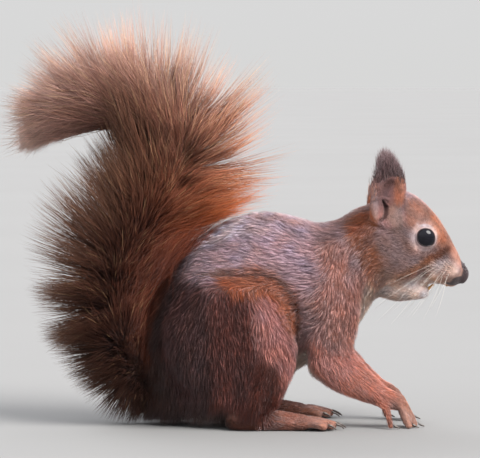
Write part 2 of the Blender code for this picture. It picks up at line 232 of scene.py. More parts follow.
flesh = [copy_of(node, SWELL) for node in FLESH]
flesh += [copy_of(f"eye_{side}", SWELL) for side in SIDES]
print(len(flesh), "copies")

# %% [markdown]
# ### The core of the tail
#
# The tail's solids show how far its hair reaches, but the flesh in it is only a thin tapering core. That
# could be cut from the solids; a curve through a few places with a radius at each, made solid by its bevel,
# gives the taper directly and also serves later as the line that the hair grows from.

# %% The core of the tail
TAIL_AXIS = [  # x, z, radius, from inside the rump to the tip
    (-34.0, 12.0, 7.0),
    (-46.0, 20.0, 6.5),
    (-59.0, 38.0, 5.8),
    (-64.0, 60.0, 5.2),
    (-58.0, 82.0, 4.8),
    (-45.0, 102.0, 4.5),
    (-35.0, 118.0, 4.2),
    (-32.0, 134.0, 4.0),
    (-38.0, 147.0, 3.8),
    (-52.0, 155.0, 3.5),
    (-70.0, 157.0, 2.8),
    (-87.0, 154.0, 2.1),
    (-100.0, 150.5, 1.4),
]


def catmull_rom(rows, steps):
    """More rows between the given ones, on a smooth curve through them."""
    rows = np.asarray(rows, float)
    ends = np.vstack([2 * rows[0] - rows[1], rows, 2 * rows[-1] - rows[-2]])
    out = []
    for a, b, c, d in zip(ends, ends[1:], ends[2:], ends[3:]):
        square, cube = 2 * a - 5 * b + 4 * c - d, 3 * b - a - 3 * c + d
        for t in np.arange(steps) / steps:
            out.append(0.5 * (2 * b + (c - a) * t + square * t**2 + cube * t**3))
    return np.array([*out, rows[-1]])


tail_axis = catmull_rom(TAIL_AXIS, 6)
core_curve = bpy.data.curves.new("tail_core", "CURVE")
core_curve.dimensions = "3D"
core_curve.bevel_depth = MM
core_curve.bevel_resolution = 4
core_curve.use_fill_caps = True
spline = core_curve.splines.new("POLY")
spline.points.add(len(tail_axis) - 1)
for point, (x, z, radius) in zip(spline.points, tail_axis):
    point.co = (*place(x, 0, z), 1)
    point.radius = radius
tail_core = bpy.data.objects.new("tail_core", core_curve)
bpy.context.scene.collection.objects.link(tail_core)
pick(tail_core)
bpy.ops.object.convert(target="MESH")
tail_core = merge_points(bpy.context.view_layer.objects.active)
core_length = np.linalg.norm(np.diff(tail_axis[:, :2], axis=0), axis=1).sum()
print("the tail's core is", round(float(core_length)), "mm long")

# %% [markdown]
# ### One surface
#
# The copies still run through each other. A Boolean union could join them, but would keep a sharp line at
# every joint. A voxel remesh keeps the outer surface only, at one fine grain, and closes the joints softly.

# %% Helpers: act on part of the points, and smooth them


def group(obj, name, amounts):
    """A vertex group that says how much a modifier may act at each point."""
    made = obj.vertex_groups.new(name=name)
    for step in range(1, 11):
        chosen = np.flatnonzero(np.round(amounts * 10) == step)
        made.add(chosen.tolist(), step / 10, "REPLACE")
    return made.name


def smooth(obj, factor, times_over, amounts=None):
    """Adds a Smooth modifier, which acts on each point by its amount, or fully everywhere."""
    step = obj.modifiers.new("smooth", "SMOOTH")
    step.factor = factor
    step.iterations = times_over
    if amounts is not None:
        step.vertex_group = group(obj, "smooth", amounts)


# %% Join the copies and remesh them
GRAIN = 0.9 * MM
skin = pick(flesh[0], *flesh[1:], tail_core)
bpy.ops.object.join()
skin.name = "skin"
remesh = skin.modifiers.new("remesh", "REMESH")
remesh.mode = "VOXEL"
remesh.voxel_size = GRAIN
smooth(skin, 0.5, 5)
apply_all(skin)
print("skin:", len(skin.data.vertices), "points")

# %% Keep the outer surface only
outermost = int(np.argmax(points_of(skin)[:, 0]))
for vertex in skin.data.vertices:
    vertex.select = vertex.index == outermost
pick(skin)
bpy.ops.object.mode_set(mode="EDIT")
bpy.ops.mesh.select_linked()
bpy.ops.mesh.select_all(action="INVERT")
bpy.ops.mesh.delete(type="VERT")
bpy.ops.object.mode_set(mode="OBJECT")
print("skin:", len(skin.data.vertices), "points after loose inner shells are gone")

# %% [markdown]
# ## The regions of the coat
#
# Fur differs over the body: its length, how far it stands up, which way it lies and how deep it hides the
# skin. These all change smoothly, so each is given once for a stretch of the body, as on a bone, and every
# point of the skin takes a blend of the stretches nearest to it. A stretch runs the way its hair lies, so its
# two ends also give the flow.

# %% The stretches of the body
STRETCHES = {  # start and end in mm, reach; coat depth, tuft length and width, all in mm
    "snout": ((112, 0, 79), (100, 0, 86), 7, 0.45, 1.9, 0.26),
    "lip": ((108, 4, 73), (97, 7, 74), 5, 0.35, 1.8, 0.24),
    "brow": ((100, 4, 93), (88, 6, 106), 8, 0.8, 2.8, 0.28),
    "crown": ((86, 0, 110), (72, 0, 115), 10, 1.3, 4.2, 0.34),
    "cheek": ((98, 11, 80), (71, 16, 89), 9, 0.9, 3.2, 0.26),
    "jaw": ((94, 3, 67), (74, 6, 68), 8, 0.6, 2.4, 0.26),
    "ear": ((72, 14, 106), (76, 17, 134), 8, 0.15, 2.0, 0.24),
    "nape": ((68, 0, 111), (46, 0, 98), 12, 2.2, 7.5, 0.38),
    "neck": ((65, 14, 92), (52, 17, 78), 10, 2.0, 7.0, 0.36),
    "throat": ((70, 4, 72), (59, 8, 48), 11, 2.2, 7.5, 0.42),
    "withers": ((46, 0, 100), (12, 0, 104), 14, 3.0, 8.5, 0.44),
    "back": ((12, 0, 104), (-22, 0, 88), 14, 3.4, 9.5, 0.46),
    "rump": ((-22, 0, 88), (-40, 0, 50), 14, 3.6, 10.0, 0.46),
    "seat": ((-40, 0, 50), (-38, 0, 8), 13, 3.0, 9.0, 0.44),
    "flank": ((36, 22, 78), (-10, 24, 82), 13, 3.2, 9.0, 0.46),
    "side": ((34, 22, 56), (10, 24, 52), 13, 2.8, 8.5, 0.44),
    "belly": ((48, 0, 38), (-10, 0, 2), 16, 2.6, 8.0, 0.44),
    "shoulder": ((50, 20, 82), (46, 24, 46), 13, 2.2, 7.5, 0.42),
    "elbow": ((44, 22, 44), (50, 21, 32), 10, 1.6, 6.0, 0.40),
    "forearm": ((50, 20, 32), (68, 18, 18), 9, 1.1, 4.6, 0.34),
    "hand": ((69, 17, 17), (78, 17, 11), 6, 0.45, 2.3, 0.24),
    "fingers": ((79, 17, 10), (88, 17, 2), 6, 0.22, 1.4, 0.19),
    "knee": ((12, 34, 74), (24, 33, 30), 12, 2.6, 8.0, 0.42),
    "thigh": ((-6, 36, 74), (0, 36, 22), 13, 3.0, 8.5, 0.44),
    "haunch": ((-24, 30, 68), (-30, 30, 18), 13, 3.2, 9.0, 0.44),
    "shank": ((14, 35, 30), (10, 34, 10), 9, 1.4, 6.5, 0.36),
    "heel": ((-6, 30, 12), (6, 30, 3), 7, 0.6, 4.0, 0.30),
    "foot": ((12, 28, 6), (32, 27, 5), 7, 0.45, 2.3, 0.24),
    "toes": ((34, 27, 4), (48, 27, 2), 7, 0.22, 1.4, 0.19),
    "tail_low": ((-48, 0, 22), (-64, 0, 64), 9, 0.0, 8.0, 0.34),
    "tail_mid": ((-64, 0, 64), (-33, 0, 128), 9, 0.0, 8.0, 0.34),
    "tail_bend": ((-32, 0, 134), (-50, 0, 154), 9, 0.0, 8.0, 0.34),
    "tail_end": ((-58, 0, 156), (-103, 0, 147), 9, 0.0, 7.0, 0.30),
}
NAMES = list(STRETCHES)
STARTS = np.array([s[0] for s in STRETCHES.values()], float)
ENDS = np.array([s[1] for s in STRETCHES.values()], float)
REACH = np.array([s[2] for s in STRETCHES.values()], float)
DEPTH, LENGTH, WIDTH = np.array([s[3:] for s in STRETCHES.values()], float).T
FLOW = unit(ENDS - STARTS)
BLEND = 7.0  # how sharply one stretch gives way to the next


def shares(spots):
    """How much each stretch counts at each spot: one row a spot, one column a stretch. Spots are in mm."""
    near = folded(spots)
    nearness = np.empty((len(spots), len(NAMES)))
    for k, (start, end, reach) in enumerate(zip(STARTS, ENDS, REACH)):
        nearness[:, k] = from_segment(near, start, end) / reach
    counts = np.exp(-BLEND * (nearness - nearness.min(axis=1, keepdims=True)))
    return counts / counts.sum(axis=1, keepdims=True)


def share_of(counts, *names):
    """How much the named stretches count together."""
    return counts[:, [NAMES.index(name) for name in names]].sum(axis=1)


print(len(NAMES), "stretches")

# %% [markdown]
# ### The skin under the coat
#
# The solids meet at their joints with small steps that a living body doesn't have, and they reach out to the
# tips of the coat. So the body is smoothed, less on the small parts, which would melt away. Its points are
# thinned out, as fur will hide it. Then each point sinks by the depth of the coat there, and the fold
# before the thigh is pressed in.

# %% Smooth the body and thin out its points
SMALL_PARTS = ["snout", "lip", "brow", "cheek", "jaw", "ear", "hand", "fingers", "heel", "foot", "toes"]
KEPT_POINTS = 0.43  # of all
spots = to_layout(points_of(skin))
counts = shares(spots)
plain = 1 - share_of(counts, *SMALL_PARTS)
smooth(skin, 0.5, 70, plain * (1 - 0.6 * share_of(counts, "forearm", "shank", "crown")))
thin_out = skin.modifiers.new("thin_out", "DECIMATE")
thin_out.ratio = KEPT_POINTS
thin_out.vertex_group = group(skin, "plain", plain)
thin_out.vertex_group_factor = 2.0
apply_all(skin)
print("skin:", len(skin.data.vertices), "points after thinning out the body")

# %% Sink the skin, and press in the fold before the thigh
SMOOTHED_AWAY = {"crown": 0.5, "brow": 0.8, "snout": 0.4}  # mm that smoothing has already taken off the head
MUZZLE = np.array([110, 0, 77])
CREASE = [(-14, 75), (3, 76.5), (14, 76), (23, 73.5), (28, 67), (30, 56), (30, 46)]  # x and z of the fold
CREASE_DEEP, CREASE_WIDE = 1.8, 3.0
spots = to_layout(points_of(skin))
counts = shares(spots)
taken_off = sum(more * share_of(counts, name) for name, more in SMOOTHED_AWAY.items())
depth = counts @ DEPTH - taken_off * smoothstep(5, 11, from_spot(spots, MUZZLE))
depth *= smoothstep(5.5, 8.5, from_spot(folded(spots), EYE_SPOT))
for _ in range(2):
    set_points(skin, points_of(skin) - normals_of(skin) * (depth * MM / 2)[:, None])
crease = dome(from_line(spots, CREASE), CREASE_WIDE) * smoothstep(20, 26, np.abs(spots[:, 1]))
set_points(skin, points_of(skin) - normals_of(skin) * (CREASE_DEEP * MM * crease)[:, None])
smooth(skin, 0.4, 3)
apply_all(skin)
skin.vertex_groups.clear()
print("the skin lies", round(float(depth.min()), 2), "to", round(float(depth.max()), 2), "mm deep")

# %% [markdown]
# ## Uneven things
#
# No coat is even. A few sine waves at chance angles, added up, make a soft value that changes from place to
# place over a chosen distance. It turns the hair a little this way and that, and varies its colour. A fixed
# seed makes it the same each time.

# %% A soft value that wanders over the surface


def wander(points, size, seed, waves=14):
    """About -1 to 1 at each point, changing over the distance size."""
    chance = np.random.default_rng(seed)
    angles = unit(chance.normal(size=(waves, 3))) * (2 * np.pi / size) * chance.uniform(0.6, 1.5, (waves, 1))
    phases = chance.uniform(0, 2 * np.pi, waves)
    return np.sin(points @ angles.T + phases).sum(axis=1) / math.sqrt(waves / 2) / 1.6


# %% [markdown]
# ## Finer faces where the detail goes
#
# Lids, nostrils and toes are smaller than the grain of the skin. A finer remesh all over would cost millions
# of faces, so only the faces near those places are divided.

# %% Divide the faces of the eyes, nose, ears, fingers and toes


def finer(near, times_over):
    """Divides the faces whose points are all in near(spots), as often as asked."""
    for _ in range(times_over):
        inside = near(folded(to_layout(points_of(skin))))
        pick(skin)
        bpy.ops.object.mode_set(mode="EDIT")
        bpy.ops.mesh.select_mode(type="VERT")
        bpy.ops.mesh.select_all(action="DESELECT")
        bpy.ops.object.mode_set(mode="OBJECT")
        skin.data.vertices.foreach_set("select", inside)
        bpy.ops.object.mode_set(mode="EDIT")
        bpy.ops.mesh.subdivide(number_cuts=1, smoothness=0)
        bpy.ops.object.mode_set(mode="OBJECT")


def within(centre, reach):
    return lambda spots: from_spot(spots, centre) < reach


def fingers_and_toes(spots):
    fingers = (spots[:, 2] < 14) & (spots[:, 0] > 72)
    toes = (spots[:, 2] < 11) & (np.abs(spots[:, 0] - 38) < 17)
    return fingers | toes


def upper_ear(spots):
    return (spots[:, 2] > 101) & (spots[:, 1] > 9) & (from_spot(spots, [74, 15, 118]) < 24)


finer(fingers_and_toes, 1)
finer(within(EYE_SPOT, 10.5), 1)
finer(within(EYE_SPOT, 7.5), 1)
finer(within([110.0, 0.0, 76.5], 8.5), 2)
finer(upper_ear, 1)
print("skin:", len(skin.data.vertices), "points with the finer face")

# %% [markdown]
# ## The hands and feet
#
# The remesh has melted neighbouring fingers and toes together. They could be remeshed finely on their own,
# but then the skin would need joining at the wrists. Instead each point there is drawn back toward the
# nearest place on the solids, less the depth of the short fur.

# %% Draw the fingers and toes back onto the solids


def tree_of(names):
    """One tree for finding places on several solids."""
    all_points, all_faces = [], []
    for name in names:
        mesh = nodes[name].data
        start = len(all_points)
        all_points += [vertex.co.copy() for vertex in mesh.vertices]
        all_faces += [[start + k for k in face.vertices] for face in mesh.polygons]
    return BVHTree.FromPolygons(all_points, all_faces)


def draw_back(names, regions):
    """Draws the skin of the regions toward the named solids, and says how strongly at each point."""
    points = points_of(skin)
    counts = shares(to_layout(points))
    strength = smoothstep(0.4, 0.8, share_of(counts, *regions))
    depth = counts @ DEPTH * 0.6
    solids = tree_of(names)
    for k in np.flatnonzero(strength > 0).tolist():
        spot, facing, _, _ = solids.find_nearest(points[k].tolist())
        goal = np.array(spot - facing * (depth[k] * MM))
        points[k] += (goal - points[k]) * 0.9 * strength[k]
    set_points(skin, points)
    return strength


DIGITS = [f"{part}_{side}" for part in ("fore_foot", "hind_foot") for side in SIDES]
strength = draw_back(DIGITS, ["hand", "fingers", "foot", "toes"])
smooth(skin, 0.35, 2, strength)
apply_all(skin)
skin.vertex_groups.clear()
print("skin:", int((strength > 0.5).sum()), "points on the feet")

# %% [markdown]
# ## The face and the ears
#
# The head is what one looks at, so it is shaped finely: lids that hug the eyeball, nostrils, a cleft nose,
# and the hollow of each ear with the fold that leads into its canal. It could be sculpted by hand with
# brushes. Here the skin's points are moved by their distance from named places, with both sides laid on the
# left one, which gives both the same form.

# %% Helpers: the skin as one side, and back


def skin_on_one_side():
    """The skin's points and normals with both sides laid on the left one, and the side of each point."""
    spots = to_layout(points_of(skin))
    side = np.where(spots[:, 1] < 0, -1.0, 1.0)
    normal = normals_of(skin) * np.stack([np.ones(len(side)), side, np.ones(len(side))], axis=1)
    return folded(spots), normal, side


def put_back(spots, side):
    """Gives each point its own side again, and writes them all to the skin."""
    spots[:, 1] *= side
    set_points(skin, np.array(LAYOUT) + spots * MM)


# %% The lids
FACING = unit(np.array([0.07, 1.0, 0.04]))  # where the left eye looks
TO_CORNER = np.array([1.0, 0.0, -0.95])  # from its middle to its front corner
OPENING_ANGLE = 54.0
RIM = 0.10  # mm that the lid's edge stands off the eyeball
LID_PROFILE = [  # degrees outside the lid's edge, and mm off the eyeball
    (-7, -0.9),
    (-1.5, -0.5),
    (0, RIM),
    (4, 0.62),
    (9, 0.70),
    (14, 0.70),
]
SOCKET = 9.5  # mm from the eye's centre that the lids reach


def around_eye(spots):
    """For spots on the folded side: distance from the eye's centre, degrees outside the lid's edge, way."""
    away = spots - EYE_SPOT
    distance = np.linalg.norm(away, axis=1)
    away = away / np.maximum(distance, 1e-9)[:, None]
    facing = away @ FACING
    corner = unit(TO_CORNER - FACING * (TO_CORNER @ FACING))
    to_front = unit(away - facing[:, None] * FACING) @ corner
    edge = OPENING_ANGLE + 10 * np.clip(to_front, 0, 1) ** 14 + 4 * np.clip(-to_front, 0, 1) ** 6
    return distance, np.degrees(np.arccos(np.clip(facing, -1, 1))) - edge, away


def shape_lids():
    spots, _, side = skin_on_one_side()
    distance, outside, away = around_eye(spots)
    ball = EYE_RADIUS / MM
    angles, heights = np.array(LID_PROFILE).T
    lid = np.interp(outside, angles, ball + heights)
    target = lid + (np.maximum(distance, ball + RIM) - lid) * smoothstep(9, 36, outside)
    near = distance < SOCKET
    spots[near] = (EYE_SPOT + away * target[:, None])[near]
    put_back(spots, side)
    return int(near.sum())


print("lids:", shape_lids(), "points")

# %% The nose
NOSTRIL = np.array([111.3, 2.3, 78.2])
NOSTRIL_SLIT = NOSTRIL + [-1.2, 0.9, 0.5]  # the curl behind it
LIP_FRONT, NOSE_FRONT = np.array([107.5, 0, 72.8]), np.array([112, 0, 77])
DOWN, FORWARD = np.array([0.15, 0, -1.0]), np.array([1.0, 0, 0])
PEBBLE = 1.6  # mm from grain to grain


def move(spots, way, centre, reach, amount):
    """Moves the spots near a centre along a way, by up to an amount."""
    strength = dome(np.linalg.norm((spots - centre) / reach, axis=1), 1)
    return spots + way * (amount * strength)[:, None]


def shape_nose():
    spots, normal, side = skin_on_one_side()
    spots = move(spots, -normal, NOSTRIL, [1.3, 0.9, 1.0], 1.1)
    spots = move(spots, -normal, NOSTRIL_SLIT, [1.6, 1.0, 0.6], 0.6)
    spots = move(spots, DOWN, LIP_FRONT, [7.0, 7.0, 5.0], 2.6)
    spots = move(spots, FORWARD, NOSE_FRONT, [6.0, 5.0, 6.0], 0.9)
    pebbles = 0.26 * wander(spots, PEBBLE, 41) * (1 - smoothstep(3.4, 4.2, from_spot(spots, [110.6, 0, 77])))
    spots = spots + normal * pebbles[:, None]
    cleft = smoothstep(0.75, 0.0, spots[:, 1]) * smoothstep(105, 108, spots[:, 0]) * (spots[:, 2] < 78.5)
    spots = spots - normal * (0.5 * cleft)[:, None]
    put_back(spots, side)
    return int((pebbles != 0).sum())


print("nose:", shape_nose(), "points with grain")

# %% The ears
EAR_BASE, EAR_TIP = np.array([72.0, 12.0, 100.0]), np.array([76.0, 17.5, 136.5])
EAR_UP = unit(EAR_TIP - EAR_BASE)
EAR_HIGH = float(np.linalg.norm(EAR_TIP - EAR_BASE))
EAR_WIDE = np.array([1.0, -0.35, 0.0])
EAR_WIDE = unit(EAR_WIDE - EAR_UP * (EAR_UP @ EAR_WIDE))
EAR_OUT = np.cross(EAR_UP, EAR_WIDE)
EAR_OUT *= np.sign(EAR_OUT[1])
EAR_LEAF = [  # share of the way up, half width, how far it leans forward
    (0.02, 8.0, 0.0),
    (0.25, 9.8, -0.4),
    (0.50, 9.4, 0.2),
    (0.72, 6.8, 0.6),
    (0.90, 3.8, -1.2),
    (1.00, 1.6, -2.6),
]
CANAL = [(71.0, 112.2), (72.7, 109.2), (72.4, 106.2), (71.5, 103.8), (68.9, 102.2)]  # x and z of the fold
RIDGE = [(67.4, 113.9), (70.6, 114.3), (74.0, 112.9)]  # and of the low ridge over it
HOLLOW_DEEP, CANAL_DEEP, RIDGE_HIGH = 1.3, 2.2, 0.6
TUFT_SHARE = 0.17  # how much of the ear's height is only hair


def from_canal(spots):
    """The distance from the fold that leads into the canal, counted longer at its ends, where it narrows."""
    return from_line(spots, CANAL) * np.interp(spots[:, 2], [102, 104.5, 109.5, 112.5], [1.7, 1.0, 1.0, 2.2])


def ear_places(spots):
    """Of folded spots: share of the ear's height, and place across it from -1, its back edge, to 1."""
    away = spots - EAR_BASE
    high = away @ EAR_UP / EAR_HIGH
    stops, half_widths, leans = np.array(EAR_LEAF).T
    return high, (away @ EAR_WIDE - np.interp(high, stops, leans)) / np.interp(high, stops, half_widths)


def shape_ears():
    spots, normal, side = skin_on_one_side()
    outward = normal @ EAR_OUT
    high, across = ear_places(spots)
    is_ear = (high > 0.0) & (spots[:, 1] > 8) & (np.abs(across) < 1.4)
    hollow = smoothstep(0.1, 0.6, outward) * dome(across, 0.78)
    hollow *= smoothstep(0.04, 0.22, high) * (1 - smoothstep(0.6, 0.85, high)) * is_ear
    outside = smoothstep(0.0, 0.4, outward)
    canal = dome(from_canal(spots), 1.25) * outside * is_ear
    ridge = dome(from_line(spots, RIDGE), 1.2) * (outside * is_ear)
    spots = spots - EAR_OUT * (HOLLOW_DEEP * hollow + CANAL_DEEP * canal - RIDGE_HIGH * ridge)[:, None]
    shorter = high * TUFT_SHARE * smoothstep(0.35, 1.0, high) * is_ear
    spots = spots - EAR_UP * (shorter * EAR_HIGH)[:, None]
    put_back(spots, side)
    return int(is_ear.sum())


print("ears:", shape_ears(), "points")

# %% [markdown]
# ## Markings
#
# The animal's colours are not painted on by eye: each stretch of the body has the colour of its hair tips and
# of the darker hair under them, blended as the lie of the coat is. Over that come a few marks on the head,
# such as the pale ring round the eye. Some colours carry painted light: painted shade on the rump, the seat,
# the haunch and the shank, in the fold before the thigh, under the seat and in the ear's canal, and a painted
# highlight on the back and the knee's top. The skin and the tufts read the same colours, so a gap in the coat
# shows the right tone. The colours are written as they look on a screen and are turned to light values once.

# %% The colours of each stretch: under-hair, then tips
COLOURS = {
    "snout": ((144, 87, 64), (226, 154, 122)),
    "lip": ((150, 110, 90), (222, 188, 165)),
    "brow": ((122, 82, 68), (182, 126, 106)),
    "crown": ((134, 106, 106), (204, 172, 176)),
    "cheek": ((116, 86, 81), (162, 130, 124)),
    "jaw": ((214, 182, 172), (246, 230, 224)),
    "ear": ((96, 62, 58), (148, 106, 102)),
    "nape": ((82, 56, 50), (146, 108, 100)),
    "neck": ((132, 97, 94), (210, 165, 162)),
    "throat": ((186, 146, 126), (246, 220, 202)),
    "withers": ((130, 106, 112), (210, 176, 184)),
    # The back is mauve grey, lightened almost to white as a painted highlight where light falls on its top.
    "back": ((206, 180, 196), (255, 242, 255)),
    # The rump and the seat are red-brown, darkened further as painted shade: the rump on the side away from
    # the light, the seat low toward the floor.
    "rump": ((20, 10, 9), (54, 32, 30)),
    "seat": ((34, 19, 15), (74, 46, 36)),
    "flank": ((132, 105, 114), (218, 183, 196)),
    "side": ((104, 74, 72), (168, 128, 126)),
    "belly": ((192, 172, 158), (242, 230, 216)),
    "shoulder": ((142, 92, 80), (214, 148, 132)),
    "elbow": ((162, 98, 88), (244, 164, 150)),
    "forearm": ((140, 74, 54), (236, 146, 118)),
    "hand": ((88, 50, 38), (172, 112, 92)),
    "fingers": ((112, 72, 58), (198, 148, 128)),
    "knee": ((146, 93, 86), (234, 164, 157)),
    "thigh": ((77, 39, 32), (124, 69, 60)),
    # The haunch and the shank are red-brown, darkened further as painted shade: the haunch at the rear and
    # bottom of the thigh, the shank low under it.
    "haunch": ((52, 30, 28), (92, 60, 58)),
    "shank": ((56, 20, 11), (116, 52, 34)),
    "heel": ((70, 36, 26), (128, 74, 56)),
    "foot": ((80, 43, 32), (150, 95, 76)),
    "toes": ((96, 60, 48), (176, 126, 108)),
    "tail_low": ((52, 34, 27), (116, 80, 62)),
    "tail_mid": ((70, 38, 26), (140, 88, 64)),
    "tail_bend": ((84, 46, 32), (160, 108, 86)),
    "tail_end": ((84, 46, 36), (150, 104, 90)),
}
UNDER, TIPS = (np.array([COLOURS[name][k] for name in NAMES], float) / 255 for k in (0, 1))

# %% The marks over those colours, and the bare places
MARKS = [  # start, end, reach to full colour, reach to none; tip colour, how strongly it covers
    ((104, 0, 92), (99, 0, 99), 3.0, 8.0, (192, 138, 118), 0.55),  # the bridge and forehead
    ((101, 9, 94), (97, 9, 102), 1.5, 5.0, (188, 112, 76), 0.70),  # in front of the eye
    ((92, 16, 94), (91.5, 16, 94.5), 6.3, 7.5, (210, 182, 178), 0.90),  # the pale ring
    ((104, 8, 88), (101, 9, 86), 0.8, 2.6, (110, 52, 30), 0.80),  # the dark line from the eye's corner
    ((101, 9, 86), (95, 12, 82), 0.8, 3.0, (140, 76, 48), 0.75),
    ((95, 12, 82), (81, 16, 74), 1.0, 3.6, (176, 112, 76), 0.65),
    ((106, 6, 78), (98, 9, 78), 3.0, 6.0, (238, 210, 202), 0.92),  # the whisker pad
    ((109, 3, 80), (106, 3, 84), 2.5, 5.5, (168, 128, 118), 0.80),  # behind and above the nose
    ((108, 4, 75), (101, 7, 74), 1.6, 4.0, (160, 126, 116), 0.80),  # the upper lip
    ((60, 12, 110), (62, 14, 98), 5.0, 9.0, (176, 92, 46), 0.85),  # behind the ear
    ((63, 16, 96), (66, 16, 84), 2.5, 6.0, (170, 92, 50), 0.80),  # the band behind the cheek
    ((66, 16, 84), (71, 15, 71), 2.0, 6.0, (172, 98, 58), 0.75),
    ((81, 14, 73), (72, 15, 75), 2.5, 6.0, (196, 154, 136), 0.50),  # the corner of the jaw
    ((72, 5, 64), (80, 5, 62), 4.0, 9.0, (226, 206, 196), 0.60),  # under the jaw
    ((78, 14, 100), (76, 15, 106), 3.0, 6.0, (128, 104, 92), 0.60),  # below the ear's front
    ((79, 14, 112), (79, 15, 126), 1.5, 4.0, (190, 118, 86), 0.70),  # the ear's front edge
    ((71, 17, 113), (71, 17, 121), 3.0, 6.0, (106, 75, 73), 0.65),  # the shade inside the ear
    ((65, 17, 118), (67, 19, 100), 1.6, 3.2, (164, 138, 136), 0.75),  # the pale hair on its back edge
    ((-32, 6, 92), (-44, 6, 40), 3.0, 9.0, (130, 58, 24), 0.60),  # where the tail meets the rump
    ((-38, 12, 8), (-10, 22, 4), 8.0, 15.0, (66, 40, 32), 0.85),  # painted shade under the seat, where the body meets the floor
]
FOLDS = [  # over the thigh, seen from the side: x and z of a line; then as above
    ([(-2, 73), (12, 73), (20, 70), (25, 64), (27, 54)], 3.2, 7.5, (202, 108, 62), 0.80),  # the knee's top: orange fur, with a painted highlight along the lit ridge
    ([(9, 77), (18, 75.5), (26, 71), (29, 63)], 1.5, 4.5, (176, 98, 62), 0.55),  # above the fold
    (CREASE, 0.7, 2.2, (98, 50, 28), 0.85),  # painted shade in the fold itself
]
BARE = [  # skin with no hair on it: as above, with a dark bare colour
    ((112.0, 0, 79.0), (110.4, 0, 72.6), 3.5, 4.4, (58, 46, 48)),  # the nose
    ((110.8, 1, 72.8), (107.4, 4.6, 71.8), 2.3, 3.1, (54, 43, 43)),  # its lower edge, where the lip parts
    ((109.0, 1, 71.2), (103.0, 5, 70.4), 0.8, 1.6, (50, 36, 36)),  # the lip
]


# The lids' dark is their own; the dark of the fold into the ear's canal is painted shade in that recess.
LID_COLOUR, CANAL_SHADE = (46, 34, 36), (64, 44, 42)
UNDER_MARK = 0.72  # how light the under-hair of a mark is beside its tips


def to_light(colours):
    """Screen colours, 0 to 1, as light values."""
    return np.where(colours <= 0.04045, colours / 12.92, ((colours + 0.055) / 1.055) ** 2.4)


def colours_at(spots, counts):
    """The under-hair and the tip colour at each spot."""
    under, tips = counts @ UNDER, counts @ TIPS
    spots = folded(spots)
    marks = [(from_segment(spots, start, end), *rest) for start, end, *rest in MARKS]
    inward = 50 * (1 - smoothstep(16, 20, spots[:, 1]))
    marks += [(from_line(spots, line) + inward, *rest) for line, *rest in FOLDS]
    for away, full, none, colour, strength in marks:
        cover = (strength * (1 - smoothstep(full, none, away)))[:, None]
        colour = np.array(colour) / 255
        tips = tips * (1 - cover) + colour * cover
        under = under * (1 - cover) + colour * UNDER_MARK * cover
    warmer = 0.04 * wander(spots, 9, 8)[:, None] * np.array([1, 0, -1])
    return under * (1 + warmer), tips * (1 + warmer)


def bareness(spots):
    """How bare the skin is at each spot, and its colour where it is, with painted shade in the fold into the
    ear's canal.
    """
    spots = folded(spots)
    outside_lid = around_eye(spots)[1]
    lid = (1 - smoothstep(2.0, 5.0, outside_lid)) * (from_spot(spots, EYE_SPOT) < 7)
    # painted shade: the fold into the ear's canal is coloured dark, as a recess
    canal = 0.85 - 0.85 * smoothstep(0.2, 2.3, from_canal(spots) + 9 * (spots[:, 1] < 11))
    covers = []
    for start, end, full, none, colour in BARE:
        covers.append((1 - smoothstep(full, none, from_segment(spots, start, end)), colour))
    covers += [(lid, LID_COLOUR), (canal, CANAL_SHADE)]
    bare, colours = np.zeros(len(spots)), np.zeros((len(spots), 3))
    for cover, colour in covers:
        colours = np.where((cover > bare)[:, None], np.array(colour) / 255, colours)
        bare = np.maximum(bare, cover)
    return bare, colours


print(len(COLOURS), "stretches coloured,", len(MARKS) + len(FOLDS), "marks,", len(BARE), "bare places")

# %% [markdown]
# ## The skin's unwrap and colours
#
# The skin could be painted, or its colours worked out by nodes. Here every point stores its colour, which is
# simple and follows the body exactly. Where the coat is deep, the skin takes the tone of the shaded hair
# near the roots, so that a gap in the coat looks deep. The bareness is stored too, as wet skin is glossier.

# %% Unwrap the skin


def set_colours(obj, colours):
    """Stores a colour for each point, given as seen on a screen."""
    layer = obj.data.color_attributes.new(name="coat", type="FLOAT_COLOR", domain="POINT")
    rows = np.ones((len(colours), 4), np.float32)
    rows[:, :3] = to_light(np.clip(colours, 0, 1))
    layer.data.foreach_set("color", rows.ravel())


pick(skin)
bpy.ops.object.mode_set(mode="EDIT")
bpy.ops.mesh.select_all(action="SELECT")
bpy.ops.mesh.quads_convert_to_tris()
bpy.ops.uv.smart_project(angle_limit=math.radians(70), island_margin=0.0005)
bpy.ops.object.mode_set(mode="OBJECT")
skin.data.uv_layers.active.name = "OFBake"
skin.data.shade_smooth()
print("skin:", len(skin.data.polygons), "triangles,", len(skin.data.uv_layers), "unwrap")

# %% Colour it
spots = to_layout(points_of(skin))
counts = shares(spots)
under, tips = colours_at(spots, counts)
off_the_eye = smoothstep(6, 9, from_spot(folded(spots), EYE_SPOT))
furred = smoothstep(0.2, 1.2, counts @ DEPTH * off_the_eye)[:, None]
tone = 1 + 0.10 * wander(spots, 9, 5)[:, None] + 0.06 * wander(spots, 3, 6)[:, None]
skin_colours = (under * 0.9 * furred + (0.45 * under + 0.55 * tips) * (1 - furred)) * tone
bare, bare_colours = bareness(spots)
skin_colours = skin_colours * (1 - bare[:, None]) + bare_colours * bare[:, None]
set_colours(skin, skin_colours)
wet = skin.data.attributes.new(name="bare", type="FLOAT", domain="POINT")
wet.data.foreach_set("value", bare.astype(np.float32))
print("skin:", int((bare > 0.5).sum()), "bare points")

# %% [markdown]
# ## Tufts
#
# A museum mount's coat is real hair. Here a tuft is a thin closed spike: a root ring of three points, one or
# more rings along it, and a tip. Hair particles would be quicker to place but are not solid, so the spikes
# are computed as one array of points for a whole region. Each stands on the skin, leans the way the coat
# lies, rises to the true outline and bends so that its tip follows the body.

